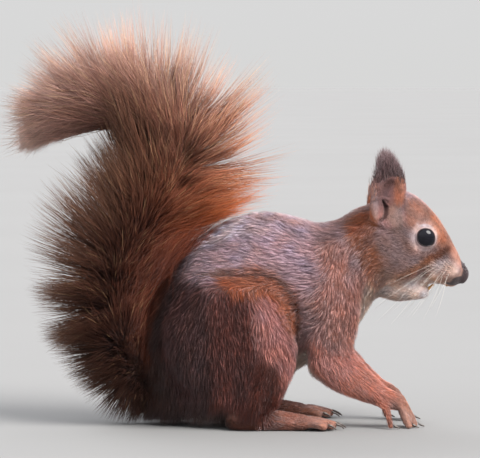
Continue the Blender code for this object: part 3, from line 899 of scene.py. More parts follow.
# %% The skin as arrays
skin_points = points_of(skin)
skin_normals = normals_of(skin)
triangles = np.empty(len(skin.data.polygons) * 3, np.int32)
skin.data.loops.foreach_get("vertex_index", triangles)
triangles = triangles.reshape(-1, 3)
unwrap = np.empty(len(triangles) * 6, np.float32)
skin.data.uv_layers["OFBake"].uv.foreach_get("vector", unwrap)
unwrap = unwrap.reshape(-1, 3, 2).astype(float)
corners = skin_points[triangles]
areas = np.linalg.norm(np.cross(corners[:, 1] - corners[:, 0], corners[:, 2] - corners[:, 0]), axis=1) / 2
centres = to_layout(corners.mean(axis=1))
centre_counts = shares(centres)
surface = BVHTree.FromPolygons(skin_points.tolist(), triangles.tolist())
print("skin area", round(float(areas.sum()) * 1e6), "mm2")

# %% Roots, spread evenly over the skin
CELL = 2.0  # mm
BITS = 10  # a place is counted in at most 2 to this power of cells each way


def in_order_of_place(spots):
    """An order in which neighbours in the list are mostly neighbours in space: the cells' numbers, woven."""
    cells = np.clip((spots - spots.min(axis=0)) / CELL, 0, 2**BITS - 1).astype(np.int64)
    key = np.zeros(len(spots), np.int64)
    for bit in range(BITS):
        for axis in range(3):
            key |= ((cells[:, axis] >> bit) & 1) << (3 * bit + axis)
    return np.argsort(key, kind="stable")


PLACE_ORDER = in_order_of_place(centres)


def roots(number, weight):
    """That many roots, spread over the skin by area times weight: place, normal, unwrap place."""
    share = (areas * weight)[PLACE_ORDER]
    steps = (np.arange(number) + rng.random(number)) / number
    found = np.searchsorted(np.cumsum(share) / share.sum(), steps)
    chosen = PLACE_ORDER[np.minimum(found, len(share) - 1)]
    a, b = rng.random((2, number))
    over = a + b > 1
    a, b = np.where(over, 1 - a, a), np.where(over, 1 - b, b)
    mix = np.stack([1 - a - b, a, b], axis=1)[:, :, None]
    corner = triangles[chosen]
    return (
        (skin_points[corner] * mix).sum(axis=1),
        unit((skin_normals[corner] * mix).sum(axis=1)),
        (unwrap[chosen] * mix).sum(axis=1),
    )


print(len(PLACE_ORDER), "triangles to root the coat in")

# %% The triangles of one spike, and a mesh from arrays


def spike_faces(rings):
    """The triangles of one spike: its closed root, its three sides from ring to ring, and its tip."""
    faces = [(0, 2, 1)]
    for ring in range(rings - 2):
        for k in range(3):
            low, next_low = 3 * ring + k, 3 * ring + (k + 1) % 3
            faces += [(low, next_low, next_low + 3), (low, next_low + 3, low + 3)]
    last = 3 * (rings - 2)
    faces += [(last + k, last + (k + 1) % 3, last + 3) for k in range(3)]
    return np.array(faces)


def mesh_object(name, points, faces, patch, colours):
    """An object of these triangles, with an unwrap place and a colour for each point."""
    mesh = bpy.data.meshes.new(name)
    mesh.vertices.add(len(points))
    mesh.vertices.foreach_set("co", points.astype(np.float32).ravel())
    mesh.loops.add(faces.size)
    mesh.loops.foreach_set("vertex_index", faces.astype(np.int32).ravel())
    mesh.polygons.add(len(faces))
    mesh.polygons.foreach_set("loop_start", np.arange(0, faces.size, 3, dtype=np.int32))
    mesh.update(calc_edges=True)
    layer = mesh.uv_layers.new(name="OFBake")
    layer.uv.foreach_set("vector", patch[faces.ravel()].astype(np.float32).ravel())
    mesh.shade_smooth()
    obj = bpy.data.objects.new(name, mesh)
    bpy.context.scene.collection.objects.link(obj)
    set_colours(obj, colours)
    return obj


# %% A spike for each root, as one mesh
PATCH = 0.003  # the size of a spike on the unwrap


def spikes(name, paths, across, widths, shape, under, tips, uv, thickness=0.45, fade=0.5):
    """Closed spikes: paths is tufts by rings by xyz, its last ring the tip; shape is each ring's width."""
    tufts, rings = paths.shape[:2]
    t = np.linspace(0, 1, rings)
    along = unit(np.gradient(paths, axis=1))
    side = unit(across[:, None] - (across[:, None] * along).sum(axis=2, keepdims=True) * along)
    ridge = np.cross(along, side)
    half = (widths[:, None] * np.array(shape)[None])[:, :, None] / 2
    ring = np.stack([-side * half, ridge * half * 2 * thickness, side * half], axis=2)
    body = ring[:, :-1] + paths[:, :-1, None]
    points = np.concatenate([body.reshape(tufts, -1, 3), paths[:, -1:]], axis=1)
    count = points.shape[1]
    faces = spike_faces(rings)[None] + (np.arange(tufts) * count)[:, None, None]
    ring_of = np.append(np.repeat(np.arange(rings - 1), 3), rings - 1)
    blend = t[ring_of] ** fade
    colours = under[:, None] * (1 - blend[None, :, None]) + tips[:, None] * blend[None, :, None]
    sideways = np.append(np.tile([-0.5, 0, 0.5], rings - 1), 0)
    patch = uv[:, None] + PATCH * np.stack([sideways, t[ring_of] - 0.5], axis=1)[None]
    flat = (points.reshape(-1, 3), faces.reshape(-1, 3), patch.reshape(-1, 2), colours.reshape(-1, 3))
    return mesh_object(name, *flat)


# %% [markdown]
# ### How the hair lies
#
# Hair leaves the skin at a slant and lies down along it, toward the tail on the body and down the legs. It
# parts round the eye, and hangs straight down at the edge of the haunch. Combing tools could set this by
# hand. Here the flow of the nearest stretches is followed, and the end of each tuft is found on the skin a
# length further on, so that tufts bend round the body and never dive into it.

# %% Which way the coat lies
FLOOR_GAP = 0.0003  # metres between the lowest hair and the floor


def turned(vectors, axes, angles):
    """Each vector turned about its own axis, which is square to it."""
    return vectors * np.cos(angles)[:, None] + np.cross(axes, vectors) * np.sin(angles)[:, None]


def flow_at(spots, counts, normal):
    """The way the coat lies along the skin, on both sides of the body."""
    way = counts @ FLOW
    near = folded(spots)
    from_eye = near - EYE_SPOT
    beside = (1 - smoothstep(6.5, 9.5, np.linalg.norm(from_eye, axis=1)))[:, None]
    way = way * (1 - 0.7 * beside) + unit(from_eye) * 0.9 * beside
    way[:, 1] *= np.sign(spots[:, 1])
    way = way - (way * normal).sum(axis=1, keepdims=True) * normal
    return unit(way)


def hanging(spots):
    """How far the hair at each spot hangs straight down: the fringe of the haunch, which hides the heel."""
    low = 1 - smoothstep(14, 26, spots[:, 2])
    behind_knee = 1 - smoothstep(8, 14, spots[:, 0])
    under_seat = 1 - smoothstep(-32, -20, spots[:, 0])
    return low * behind_knee * np.maximum(smoothstep(10, 16, np.abs(spots[:, 1])), under_seat)


# %% The curve of each tuft
ROOT_DEEP = 0.25 * MM  # how far a root is sunk in the skin


def along_skin(root, flow, lengths, heights):
    """Places above the skin, a length further on along the flow from each root."""
    out = np.empty_like(root)
    for k, end in enumerate((root + flow * lengths[:, None]).tolist()):
        spot, facing, _, _ = surface.find_nearest(end)
        out[k] = spot + facing * heights[k]
    return out


def lying_paths(root, normal, flow, lengths, heights, rings):
    """Curved paths that leave the skin at the root and end above it, a length further on, or hang down."""
    middles = along_skin(root, flow, lengths * 0.5, heights * 0.78)
    tips = along_skin(root, flow, lengths, heights)
    spots = to_layout(root)
    free = hanging(spots)[:, None]
    drop = np.clip((spots[:, 2] - 0.8) * MM * lengths / lengths.mean(), 1.5 * MM, 14 * MM)
    below = root + normal * [1, 1, 0] * (heights * 1.4)[:, None] + np.array([-0.10, 0, -1]) * drop[:, None]
    hung = (root + below) / 2 + normal * (heights * 0.55)[:, None]
    bend = (2 * middles - (root + tips) / 2) * (1 - free) + hung * free
    tips = tips * (1 - free) + below * free
    start = root - normal * np.minimum(ROOT_DEEP, heights * 0.8)[:, None]
    return arcs(start, bend, tips, np.linspace(0, 1, rings))


# %% A piece of coat


def coat(name, number, weight, rings, thin=1.0, streak=1.0, even=0.0):
    """Tufts over part of the skin, with streaks of light and dark hair, or more even in tone."""
    root, normal, uv = roots(number, weight)
    spots = to_layout(root)
    counts = shares(spots)
    flow = flow_at(spots, counts, normal)
    lean = 0.15 * wander(spots, 11, 21) + 0.14 * wander(spots, 4, 22) + rng.normal(0, 0.12, number)
    flow = turned(flow, normal, lean)
    clump = wander(spots, 3.2, 23)
    shorter = 0.45 + 0.55 * smoothstep(5.8, 8.5, from_spot(folded(spots), EYE_SPOT))
    lengths = counts @ LENGTH * MM * rng.uniform(0.7, 1.15, number) * (1 + 0.12 * clump) * shorter
    heights = np.maximum(counts @ DEPTH * rng.uniform(0.55, 1.15, number) * shorter**2, 0.12) * MM
    widths = counts @ WIDTH * MM * thin * rng.uniform(0.75, 1.2, number)
    paths = lying_paths(root, normal, flow, lengths, heights, rings)
    paths[:, :, 2] = np.maximum(paths[:, :, 2], FLOOR_GAP)
    under, tips = colours_at(spots, counts)
    under = under * (1 - even) + tips * 0.9 * even
    light = 1 + 0.05 * clump + 0.08 * wander(spots, 13, 24) + streak * rng.normal(0, 0.05, number)
    light = (light * np.where(rng.random(number) < 0.10, 1 - 0.24 * streak, 1))[:, None]
    shape = np.interp(np.linspace(0, 1, rings), [0, 0.4, 1], [0.75, 1.0, 0.0])
    made = spikes(name, paths, np.cross(normal, flow), widths, shape, under * light, tips * light, uv)
    print(name, len(made.data.polygons), "triangles")
    return made


# %% [markdown]
# ## The coat, piece by piece
#
# The body's hair is long enough to show streaks, and has finer hair between. The head's is short and fine,
# and the feet's is shortest. One mesh could hold it all, but would grow too heavy, so each piece covers part
# of the skin.

# %% Where each piece grows
bare_centres = bareness(centres)[0]
covered = (1 - smoothstep(0.2, 0.6, bare_centres)) * smoothstep(0.4, 1.0, centres[:, 2])
PARTS = {
    "head": ["crown", "cheek", "jaw", "ear"],
    "face": ["snout", "lip", "brow", "cheek", "crown", "jaw", "ear"],
    "front": ["nape", "neck", "throat", "shoulder", "elbow", "forearm"],
    "back": ["withers", "back", "belly"],
    "side": ["flank", "side"],
    "haunch": ["knee", "thigh", "haunch", "shank", "heel", "rump", "seat"],
    "feet": ["hand", "fingers", "foot", "toes"],
}
weights = {part: share_of(centre_counts, *names) * covered for part, names in PARTS.items()}
weights["haunch"] *= 1 + hanging(centres)
print({part: round(float((areas * weight).sum()) * 1e6) for part, weight in weights.items()}, "mm2")

# %% Grow it
coat_pieces = [
    coat("coat_head", 8500, weights["head"], 3, thin=0.74, streak=0.6, even=0.5),
    coat("coat_face", 28000, weights["face"], 2, thin=0.76, streak=0.8, even=0.5),
]
BODY_COAT = [  # part; how many long tufts and how even they are; how many fine ones and how even
    ("front", 6500, 0.25, 29000, 0.45),
    ("back", 5500, 0.25, 25500, 0.45),
    ("side", 3500, 0.25, 16500, 0.45),
    ("haunch", 8500, 0.15, 40000, 0.35),
]
for part, long_ones, long_even, fine_ones, fine_even in BODY_COAT:
    coat_pieces += [
        coat(f"coat_{part}", long_ones, weights[part], 3, thin=0.70, even=long_even),
        coat(f"coat_{part}_fine", fine_ones, weights[part], 2, thin=0.56, even=fine_even),
    ]
coat_pieces.append(coat("coat_feet", 9000, weights["feet"], 3, streak=1.2))

# %% [markdown]
# ## The tail
#
# A squirrel's tail is a thin core with long loose hair that stands out to both sides and sweeps toward the
# tip. It could be one solid plume with a rough surface, but would look like felt, so every hair is made. Each
# starts on the core and leans between straight out and along it. How far it reaches is asked of the tail's
# solids, so that the plume keeps its outline. Neighbours bend together into wisps.

# %% The line of the tail, and tables along it
tail_shape = tree_of(TAIL)
AXIS = np.array([(x, 0, z) for x, z, _ in tail_axis])
AXIS_WAY = unit(np.gradient(AXIS, axis=0))
AXIS_AT = np.concatenate([[0], np.cumsum(np.linalg.norm(np.diff(AXIS, axis=0), axis=1))])
AXIS_AT /= AXIS_AT[-1]
OPENING = [  # along the tail; degrees from the tail's own line, on its rear side and on its front side
    (0.0, 105, 80),
    (0.15, 92, 62),
    (0.26, 95, 54),
    (0.38, 90, 52),
    (0.5, 70, 54),
    (0.62, 36, 66),
    (0.74, 18, 66),
    (0.87, 18, 64),
    (1.0, 15, 42),
]
TAIL_COLOURS = [  # along the tail; rear side under-hair and tips, front side under-hair and tips
    (0.0, (38, 20, 13), (70, 42, 30), (44, 20, 12), (88, 38, 19)),
    (0.3, (58, 34, 25), (126, 92, 72), (62, 25, 12), (124, 52, 22)),
    (0.4, (60, 35, 26), (129, 95, 75), (64, 26, 12), (138, 60, 26)),
    (0.5, (62, 36, 26), (132, 98, 78), (104, 46, 24), (226, 120, 62)),
    (0.7, (66, 33, 22), (136, 92, 76), (138, 101, 90), (178, 142, 128)),
    (0.85, (142, 92, 78), (230, 184, 170), (170, 130, 118), (190, 155, 143)),
    (1.0, (186, 142, 130), (244, 212, 200), (184, 144, 132), (214, 182, 170)),
]
PARTINGS = [  # gaps in the upper edge: x and z of the inner and outer end, half width, how much shorter
    ((-48, 168), (-44, 206), 8.0, 0.45),
    ((-19, 170), (-7, 196), 5.0, 0.35),
]
WISP = 42  # hairs that end together
OPEN_AIR = 1.5 * MM
STRAY = 12 * MM  # how far a hair may pass the outside of the tail
SAG = 9 * MM  # how far the lower hairs of the tip hang
# Pale straw tips stand for light shining through the hair from behind: painted backlight.
BACKLIT_STRAW = np.array([222, 188, 140]) / 255
print(len(AXIS), "places along the tail's line")

# %% How far the hair may reach


def reach(starts, ways, furthest):
    """How far it is along each way to the outside of the tail, not counting what lies across open air."""
    out = np.empty(len(starts))
    for k, (start, way) in enumerate(zip(starts.tolist(), ways.tolist())):
        start, way = Vector(start), Vector(way)
        begin, far = start.copy(), 0.0
        for _ in range(6):
            spot, facing, _, _ = tail_shape.ray_cast(begin, way, furthest)
            if spot is None:
                break
            distance = (spot - start).length
            leaving = facing.dot(way) > 0
            if not leaving and far > 0 and distance - far > OPEN_AIR:
                break
            if leaving:
                far = distance
            begin = spot + way * 0.2 * MM
        out[k] = far
    return out


def parted(spots):
    """How much of its length each hair keeps, by where its tip is: less inside a parting."""
    kept = np.ones(len(spots))
    flat = spots[:, [0, 2]]
    for inner, outer, half_width, shorter in PARTINGS:
        inner, along = np.array(inner, float), np.subtract(outer, inner).astype(float)
        t = (flat - inner) @ along / (along @ along)
        away = np.linalg.norm(flat - inner - t[:, None] * along, axis=1)
        inside = np.clip(1 - away / (half_width * np.clip(t, 0.05, 1.3)), 0, 1)
        kept -= shorter * smoothstep(0, 0.6, inside) * (t > 0)
    return kept


# %% Reading the tables, and gathering hairs into wisps


def read_off(at, stops, rows):
    """Rows of a table, read off between its stops at each place along."""
    return np.stack([np.interp(at, stops, column) for column in np.transpose(rows)], axis=1)


def tail_colours(at, ahead):
    """Under-hair and tips along the tail, mixed from its rear and front side by how far ahead a hair is."""
    stops, rear_under, rear_tips, front_under, front_tips = zip(*TAIL_COLOURS)
    mixed = []
    for rear, front in ((rear_under, front_under), (rear_tips, front_tips)):
        rear, front = (read_off(at, stops, np.array(rows) / 255) for rows in (rear, front))
        mixed.append(rear * (1 - ahead) + front * ahead)
    return mixed


def nearest_guide(root, guides):
    """For each root, which of the guiding hairs is nearest."""
    tree = KDTree(len(guides))
    for k, guide in enumerate(guides.tolist()):
        tree.insert(root[guide], k)
    tree.balance()
    return np.array([tree.find(spot)[1] for spot in root.tolist()])


# %% Hair for a part of the tail
SHORTEST, SHORTEST_GROWS, LONGEST = 0.006, 0.009, 0.070  # metres; the shortest hair is longer toward the tip
FURTHEST = 0.09  # metres that a hair looks for the outside
TAIL_FLOOR_GAP = 0.0004


def leaning(at, turn, out, way, root, ahead, wisp):
    """The way each hair stands: between straight out and along the tail, a little to one side."""
    stops, rear, front = np.array(OPENING).T
    opening = np.interp(at, stops, rear) * (1 - ahead) + np.interp(at, stops, front) * ahead
    opening = np.radians(opening) * (1 + 0.12 * wander(root, 16, 31)) + rng.normal(0, 0.13, len(at))
    opening += rng.normal(0, 0.08, len(at)) * smoothstep(0.72, 0.9, at)
    swing = 0.14 * wisp + rng.normal(0, 0.15, len(at))
    lean = unit(way * np.cos(opening)[:, None] + out * np.sin(opening)[:, None])
    return unit(lean + unit(np.cross(way, out)) * swing[:, None])


def tail_coat(name, number, low, high, fullness, width, loose, rings=3, dark=1.0):
    """Hair on the tail from low to high along it, reaching so much of the way out, in loose wisps."""
    at = low + (high - low) * (np.arange(number) + rng.random(number)) / number
    turn = rng.uniform(0, 2 * np.pi, number)
    way = unit(read_off(at, AXIS_AT, AXIS_WAY))
    out = unit(np.cross(way, [0, 1, 0])) * np.cos(turn)[:, None] + np.array([0, 1, 0]) * np.sin(turn)[:, None]
    root = read_off(at, AXIS_AT, AXIS) + out * (np.interp(at, AXIS_AT, tail_axis[:, 2]) * 0.8)[:, None]
    ahead = 0.5 - 0.5 * np.cos(turn)
    wisp = wander(root * [1, 1.6, 1], 7, 32)
    lean = leaning(at, turn, out, way, root, ahead, wisp)
    base = np.array(LAYOUT) + root * MM
    guides = rng.choice(number, number // WISP, replace=False)
    wisp_of = nearest_guide(root, guides)
    far = reach(base, lean, FURTHEST)
    share = rng.uniform(1 - 0.16 * loose, 1 + 0.12 * loose, number)
    share *= fullness * rng.uniform(1 - 0.16 * loose, 1 + 0.10 * loose, len(guides))[wisp_of]
    share *= 1 + smoothstep(0.72, 0.9, at) * rng.uniform(-0.14, 0.24, number)
    share *= 1 + 0.3 * ahead * (1 - smoothstep(0.24, 0.34, at))  # the hair that meets the rump's
    lengths = np.clip(np.minimum(far * share, far + STRAY), SHORTEST + SHORTEST_GROWS * at, LONGEST)
    lengths *= np.where(rng.random(number) < 0.15, 1, parted(to_layout(base + lean * lengths[:, None])))
    tip = base + lean * lengths[:, None]
    tip[:, 2] -= SAG * smoothstep(0.8, 1.0, at) * np.clip(0.6 - lean[:, 2], 0, 1)
    guide_tip = base + unit(tip[guides][wisp_of] - base) * lengths[:, None]
    tip += (guide_tip - tip) * (loose * rng.uniform(0.2, 0.75, number))[:, None]
    bend = base + unit(lean * 0.75 + out * 0.45) * (lengths * 0.45)[:, None]
    paths = arcs(base, bend, tip, np.linspace(0, 1, rings) ** 0.75)
    paths[:, :, 2] = np.maximum(paths[:, :, 2], TAIL_FLOOR_GAP)
    under, tips = tail_colours(at, ahead[:, None])
    # Painted shade: hairs that stand out to the tail's flat sides take the darker under-hair colour, most
    # along its middle, so the plume's core looks shaded.
    beside = (0.8 * np.sin(turn) ** 2 * np.interp(at, [0, 0.3, 0.7, 0.85, 1], [0.6, 1, 1, 0.3, 0.1]))[:, None]
    tips = tips * (1 - beside) + under * 1.2 * beside
    uneven = rng.normal(0, 0.07, number) + rng.normal(0, 0.08, len(guides))[wisp_of]
    light = (dark * (1 + loose * (0.06 * wisp + uneven)))[:, None]
    # Painted backlight: a few tips anywhere, and many on the front side of the upper tail, turn pale straw as
    # if lit through from behind.
    backlit = (rng.random(number) < 0.03 + 0.20 * smoothstep(0.45, 0.7, at) * ahead)[:, None]
    tips = np.where(backlit, tips * 0.4 + BACKLIT_STRAW * 0.6, tips)
    nearest = np.array([surface.find_nearest(spot)[2] for spot in base.tolist()])
    widths = width * MM * rng.uniform(0.7, 1.2, number)
    across = np.cross(lean, out) + rng.normal(0, 0.3, (number, 3))
    shape = np.interp(np.linspace(0, 1, rings), [0, 0.5, 1], [0.8, 1.0, 0.0])
    uv = unwrap[nearest].mean(axis=1)
    made = spikes(name, paths, across, widths, shape, under * light, tips * light, uv, fade=0.8)
    print(name, len(made.data.polygons), "triangles, hair up to", round(float(lengths.max()) / MM), "mm")
    return made


coat_pieces += [
    tail_coat("coat_tail_low", 19000, 0.03, 0.53, 1.03, 0.25, loose=0.45),
    tail_coat("coat_tail_high", 19500, 0.48, 1.0, 1.08, 0.23, loose=1.0),
    tail_coat("coat_tail_under", 28000, 0.04, 0.98, 0.76, 0.25, loose=0.6, rings=2, dark=0.9),
]

# %% [markdown]
# ## Ear brushes and whiskers
#
# A red squirrel in its winter coat carries a brush of long dark hair on each ear. The whiskers grow in rows
# from the pad beside the nose. Both could be curves with a bevel; the same tapered spikes as in the coat
# need fewer faces, with more rings where they bend more.

# %% The brushes on the ears
EAR_ROOT_HAIR = (116, 70, 52), (190, 136, 110)  # under-hair and tips, low on the ear
BRUSH_HAIR = (58, 38, 37), (100, 76, 78)  # and in the brush


def ear_tufts(number):
    high, across = ear_places(folded(centres))
    on_back_edge = (across < -0.75) * (high > 0.25)
    weight = (smoothstep(0.54, 0.80, high) + 0.07 * on_back_edge) * share_of(centre_counts, "ear")
    root, normal, uv = roots(number, weight)
    spots = to_layout(root)
    aside = np.clip(ear_places(folded(spots))[1], -1, 1)
    back = -0.14 - 0.12 * aside + rng.normal(0, 0.14, number)
    spread = np.sign(spots[:, 1]) * 0.06 + rng.normal(0, 0.10, number)
    way = unit(np.stack([back, spread, np.ones(number)], axis=1) + 0.13 * normal)
    rise = smoothstep(114, 127, spots[:, 2])
    lengths = (3.6 + 4.6 * rise * (1 - 0.5 * aside**2)) * rng.uniform(0.5, 1.15, number) * MM
    bend = root + unit(way + 0.5 * normal) * (lengths * 0.4)[:, None]
    paths = arcs(root, bend, root + way * lengths[:, None], np.linspace(0, 1, 3))
    light = rng.uniform(0.75, 1.2, number)[:, None]
    dark = smoothstep(114, 124, spots[:, 2])[:, None]
    pairs = zip(np.array(EAR_ROOT_HAIR), np.array(BRUSH_HAIR))
    under, tips = ((low * (1 - dark) + brush * dark) / 255 * light for low, brush in pairs)
    widths = rng.uniform(0.16, 0.26, number) * MM
    return spikes("ear_tufts", paths, np.cross(way, normal), widths, [0.8, 1, 0], under, tips, uv)


coat_pieces.append(ear_tufts(2600))
print("ear_tufts", len(coat_pieces[-1].data.polygons), "triangles")

# %% The whiskers
WHISKER_ROWS = [  # height of the row's roots, first and last x, number, degrees below level of first and last
    (79.6, 106.0, 97.0, 4, 48, 14),
    (77.0, 105.0, 95.5, 4, 64, 26),
    (74.6, 103.0, 94.0, 5, 80, 38),
]
WHISKER_WIDE = 0.17 * MM
WHISKER_RINGS = 12
WHISKER_COLOUR = np.array([222, 212, 204]) / 255


def whiskers():
    starts, ways, lengths = [], [], []
    for z, first, last, count, steep, level in WHISKER_ROWS:
        for k in range(count):
            share = k / (count - 1)
            down = math.radians(steep + (level - steep) * share)
            for side in SIDES.values():
                starts.append((first + (last - first) * share, side * 14, z))
                ways.append((-math.cos(down), side * 0.55, -math.sin(down)))
                lengths.append(24 + 14 * share)
    lengths = np.array(lengths) * rng.uniform(0.85, 1.1, len(starts)) * MM
    found = [surface.find_nearest(place(*start)) for start in starts]
    root, normal = (np.array([list(row[k]) for row in found]) for k in (0, 1))
    uv = np.array([unwrap[row[2]].mean(axis=0) for row in found])
    ways = unit(unit(np.array(ways, float)) + 0.2 * normal)
    t = np.linspace(0, 1, WHISKER_RINGS)
    straight = ways[:, None] * (lengths[:, None, None] * t[None, :, None])
    droop = np.array([-0.16, 0, -0.10]) * lengths[:, None, None] * t[None, :, None] ** 2
    paths = root[:, None] - normal[:, None] * 0.4 * MM + straight + droop
    pale = np.ones((len(root), 3)) * WHISKER_COLOUR
    widths = np.full(len(root), WHISKER_WIDE)
    shape = np.linspace(1, 0, WHISKER_RINGS) ** 0.7
    across = np.cross(ways, [0, 0, 1])
    return spikes("whiskers", paths, across, widths, shape, pale * 0.85, pale, uv, thickness=0.9)


whisker_piece = whiskers()
print("whiskers:", sum(row[3] for row in WHISKER_ROWS), "on each side")

# %% [markdown]
# ## Eyes, claws and teeth
#
# These are bare and hard, so each is its own piece. The eye is a dark ball, of which the lids show the
# front; it is made a little flatter than the solid's, so that its highlight sits high on the disc. Claws
# and teeth could be modelled anew, but the solids already have their shapes, so copies of those are
# rounded by subdivision.

# %% The eyes
FLATTER = 0.72  # its depth beside its width
OUTWARD = 0.17  # how far out it sits, in radii, so that the same disc shows between the lids


def make_eye(side):
    low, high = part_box(f"eye_{side}")
    facing = Vector(FACING * [1, SIDES[side], 1])
    centre = (low + high) / 2 + facing * (EYE_RADIUS * OUTWARD)
    bpy.ops.object.select_all(action="DESELECT")
    bpy.ops.mesh.primitive_uv_sphere_add(segments=48, ring_count=28, radius=EYE_RADIUS, location=centre)
    eye = bpy.context.active_object
    eye.name = "eyeball_" + side
    eye.scale = (1, 1, FLATTER)
    eye.rotation_euler = Vector((0, 0, 1)).rotation_difference(facing).to_euler()
    bpy.ops.object.transform_apply(location=True, rotation=True, scale=True)
    eye.data.shade_smooth()
    return eye


eyes = {side: make_eye(side) for side in SIDES}
print("two eyes,", round(2 * EYE_RADIUS / MM, 1), "mm across")

# %% Claws and teeth, rounded from the solids


def rounded_copy(name, source, levels):
    """The named nodes' shapes in one piece, merged and rounded."""
    made = [copy_of(node) for node in source]
    piece = pick(*made)
    if len(made) > 1:
        bpy.ops.object.join()
    piece.name = name
    fine = piece.modifiers.new("fine", "SUBSURF")
    fine.levels = fine.render_levels = levels
    apply_all(piece)
    piece.data.shade_smooth()
    return piece


hard = {}
for side in SIDES:
    for foot, claws in (("hind", 5), ("fore", 4)):
        hard[f"claws_{foot}_{side}"] = [f"claw_{foot}_{side}_{k + 1}" for k in range(claws)]
for row in ("upper", "lower"):
    hard[f"teeth_{row}"] = [f"incisors_{row}"]
hard_pieces = {name: rounded_copy(name, source, 1) for name, source in hard.items()}
print(len(hard_pieces), "hard pieces")

# %% [markdown]
# ## Materials
#
# Each is one Principled shader whose colour comes from the piece's own colours, varied by noise in Object
# coordinates, so that the pattern stays on the piece. A hair shader would need real strands; on solid tufts
# some sheen does its work, because hair scatters light at a grazing angle. Settings that are the same all
# over are set on the shader's own sockets.

# %% Helpers: a material, and the nodes that vary it


def material(name, settings):
    made = bpy.data.materials.new(name)
    made.use_nodes = True
    shader = made.node_tree.nodes["Principled BSDF"]
    for socket, value in settings.items():
        shader.inputs[socket].default_value = value
    return made, made.node_tree, shader


def noise(tree, size, detail=3.0, stretch=(1, 1, 1)):
    """Noise in Object coordinates, about size metres across."""
    where = tree.nodes.new("ShaderNodeTexCoord")
    mapping = tree.nodes.new("ShaderNodeMapping")
    mapping.inputs["Scale"].default_value = stretch
    made = tree.nodes.new("ShaderNodeTexNoise")
    made.inputs["Scale"].default_value = 1 / size
    made.inputs["Detail"].default_value = detail
    tree.links.new(where.outputs["Object"], mapping.inputs["Vector"])
    tree.links.new(mapping.outputs["Vector"], made.inputs["Vector"])
    return made.outputs["Fac"]


def ramp(tree, value, stops):
    """A value turned into a colour, by positions from 0 to 1 and their colours."""
    made = tree.nodes.new("ShaderNodeValToRGB")
    elements = made.color_ramp.elements
    for element, (position, colour) in zip(elements, (stops[0], stops[-1])):
        element.position = position
        element.color = (*colour, 1)
    for position, colour in stops[1:-1]:
        elements.new(position).color = (*colour, 1)
    tree.links.new(value, made.inputs["Fac"])
    return made.outputs["Color"]


def times(tree, one, other):
    made = tree.nodes.new("ShaderNodeMix")
    made.data_type = "RGBA"
    made.blend_type = "MULTIPLY"
    made.inputs["Factor"].default_value = 1
    tree.links.new(one, made.inputs["A"])
    tree.links.new(other, made.inputs["B"])
    return made.outputs["Result"]


def bump(tree, shader, height, strength, distance):
    made = tree.nodes.new("ShaderNodeBump")
    made.inputs["Strength"].default_value = strength
    made.inputs["Distance"].default_value = distance
    tree.links.new(height, made.inputs["Height"])
    tree.links.new(made.outputs["Normal"], shader.inputs["Normal"])


# %% Fur


def attribute(tree, name):
    made = tree.nodes.new("ShaderNodeAttribute")
    made.attribute_name = name
    return made


def fur_material(name, roughness, sheen, grain, gloss=0.35):
    """A finish from the coat's own colours, lighter and darker in patches about grain metres wide."""
    settings = {
        "Roughness": roughness,
        "Sheen Weight": sheen,
        "Sheen Roughness": 0.45,
        "Sheen Tint": (1.0, 0.82, 0.84, 1),
        "Specular IOR Level": gloss,
    }
    made, tree, shader = material(name, settings)
    vary = ramp(tree, noise(tree, grain), [(0.3, (0.86, 0.85, 0.84)), (0.7, (1.12, 1.12, 1.12))])
    colour = times(tree, attribute(tree, "coat").outputs["Color"], vary)
    tree.links.new(colour, shader.inputs["Base Color"])
    return made, tree, shader


def give(obj, made):
    obj.data.materials.clear()
    obj.data.materials.append(made)


body_fur = fur_material("body fur", 0.60, 0.55, 0.0022)[0]
haunch_fur = fur_material("haunch fur", 0.62, 0.16, 0.0022, 0.2)[0]
head_fur = fur_material("head fur", 0.66, 0.20, 0.0014)[0]
tail_fur = fur_material("tail fur", 0.58, 0.08, 0.0040, 0.2)[0]
ear_fur = fur_material("ear fur", 0.60, 0.20, 0.0016)[0]
whisker_finish = fur_material("whisker", 0.35, 0.0, 0.0060)[0]
print(len(bpy.data.materials), "materials in the file")

# %% Skin: short down as fine bump, and glossier where it is bare
skin_finish, tree, shader = fur_material("skin under the coat", 0.72, 0.15, 0.0016)
bump(tree, shader, noise(tree, 0.0004, 3, (0.25, 1, 1)), 0.6, 0.0003)
dry, moist = (0.72, 0.72, 0.72), (0.36, 0.36, 0.36)
roughness = ramp(tree, attribute(tree, "bare").outputs["Fac"], [(0.2, dry), (0.9, moist)])
tree.links.new(roughness, shader.inputs["Roughness"])
print("skin's roughness from", moist[0], "to", dry[0])

# %% Eye, horn and enamel


def stained(tree, shader, pattern, dark, light):
    """Colours the shader between a dark and a light tone by a pattern."""
    tree.links.new(ramp(tree, pattern, [dark, light]), shader.inputs["Base Color"])


eye_finish, tree, shader = material("eye", {"Roughness": 0.05, "IOR": 1.37, "Specular IOR Level": 0.5})
stained(tree, shader, noise(tree, 0.0012), (0.35, (0.001, 0.001, 0.004)), (0.7, (0.006, 0.005, 0.010)))
horn, tree, shader = material("horn", {"Roughness": 0.32, "Coat Weight": 0.2, "Coat Roughness": 0.25})
grain = noise(tree, 0.0009, 4, (0.4, 1, 1))
stained(tree, shader, grain, (0.3, (0.030, 0.018, 0.013)), (0.7, (0.085, 0.055, 0.042)))
bump(tree, shader, noise(tree, 0.0003, 3, (0.3, 1, 1)), 0.3, 0.0001)
enamel, tree, shader = material("enamel", {"Roughness": 0.25, "Coat Weight": 0.3, "Coat Roughness": 0.15})
grain = noise(tree, 0.0010, 3, (1, 1, 0.3))
stained(tree, shader, grain, (0.3, (0.48, 0.21, 0.05)), (0.7, (0.66, 0.36, 0.11)))
print(eye_finish.name, horn.name, enamel.name)
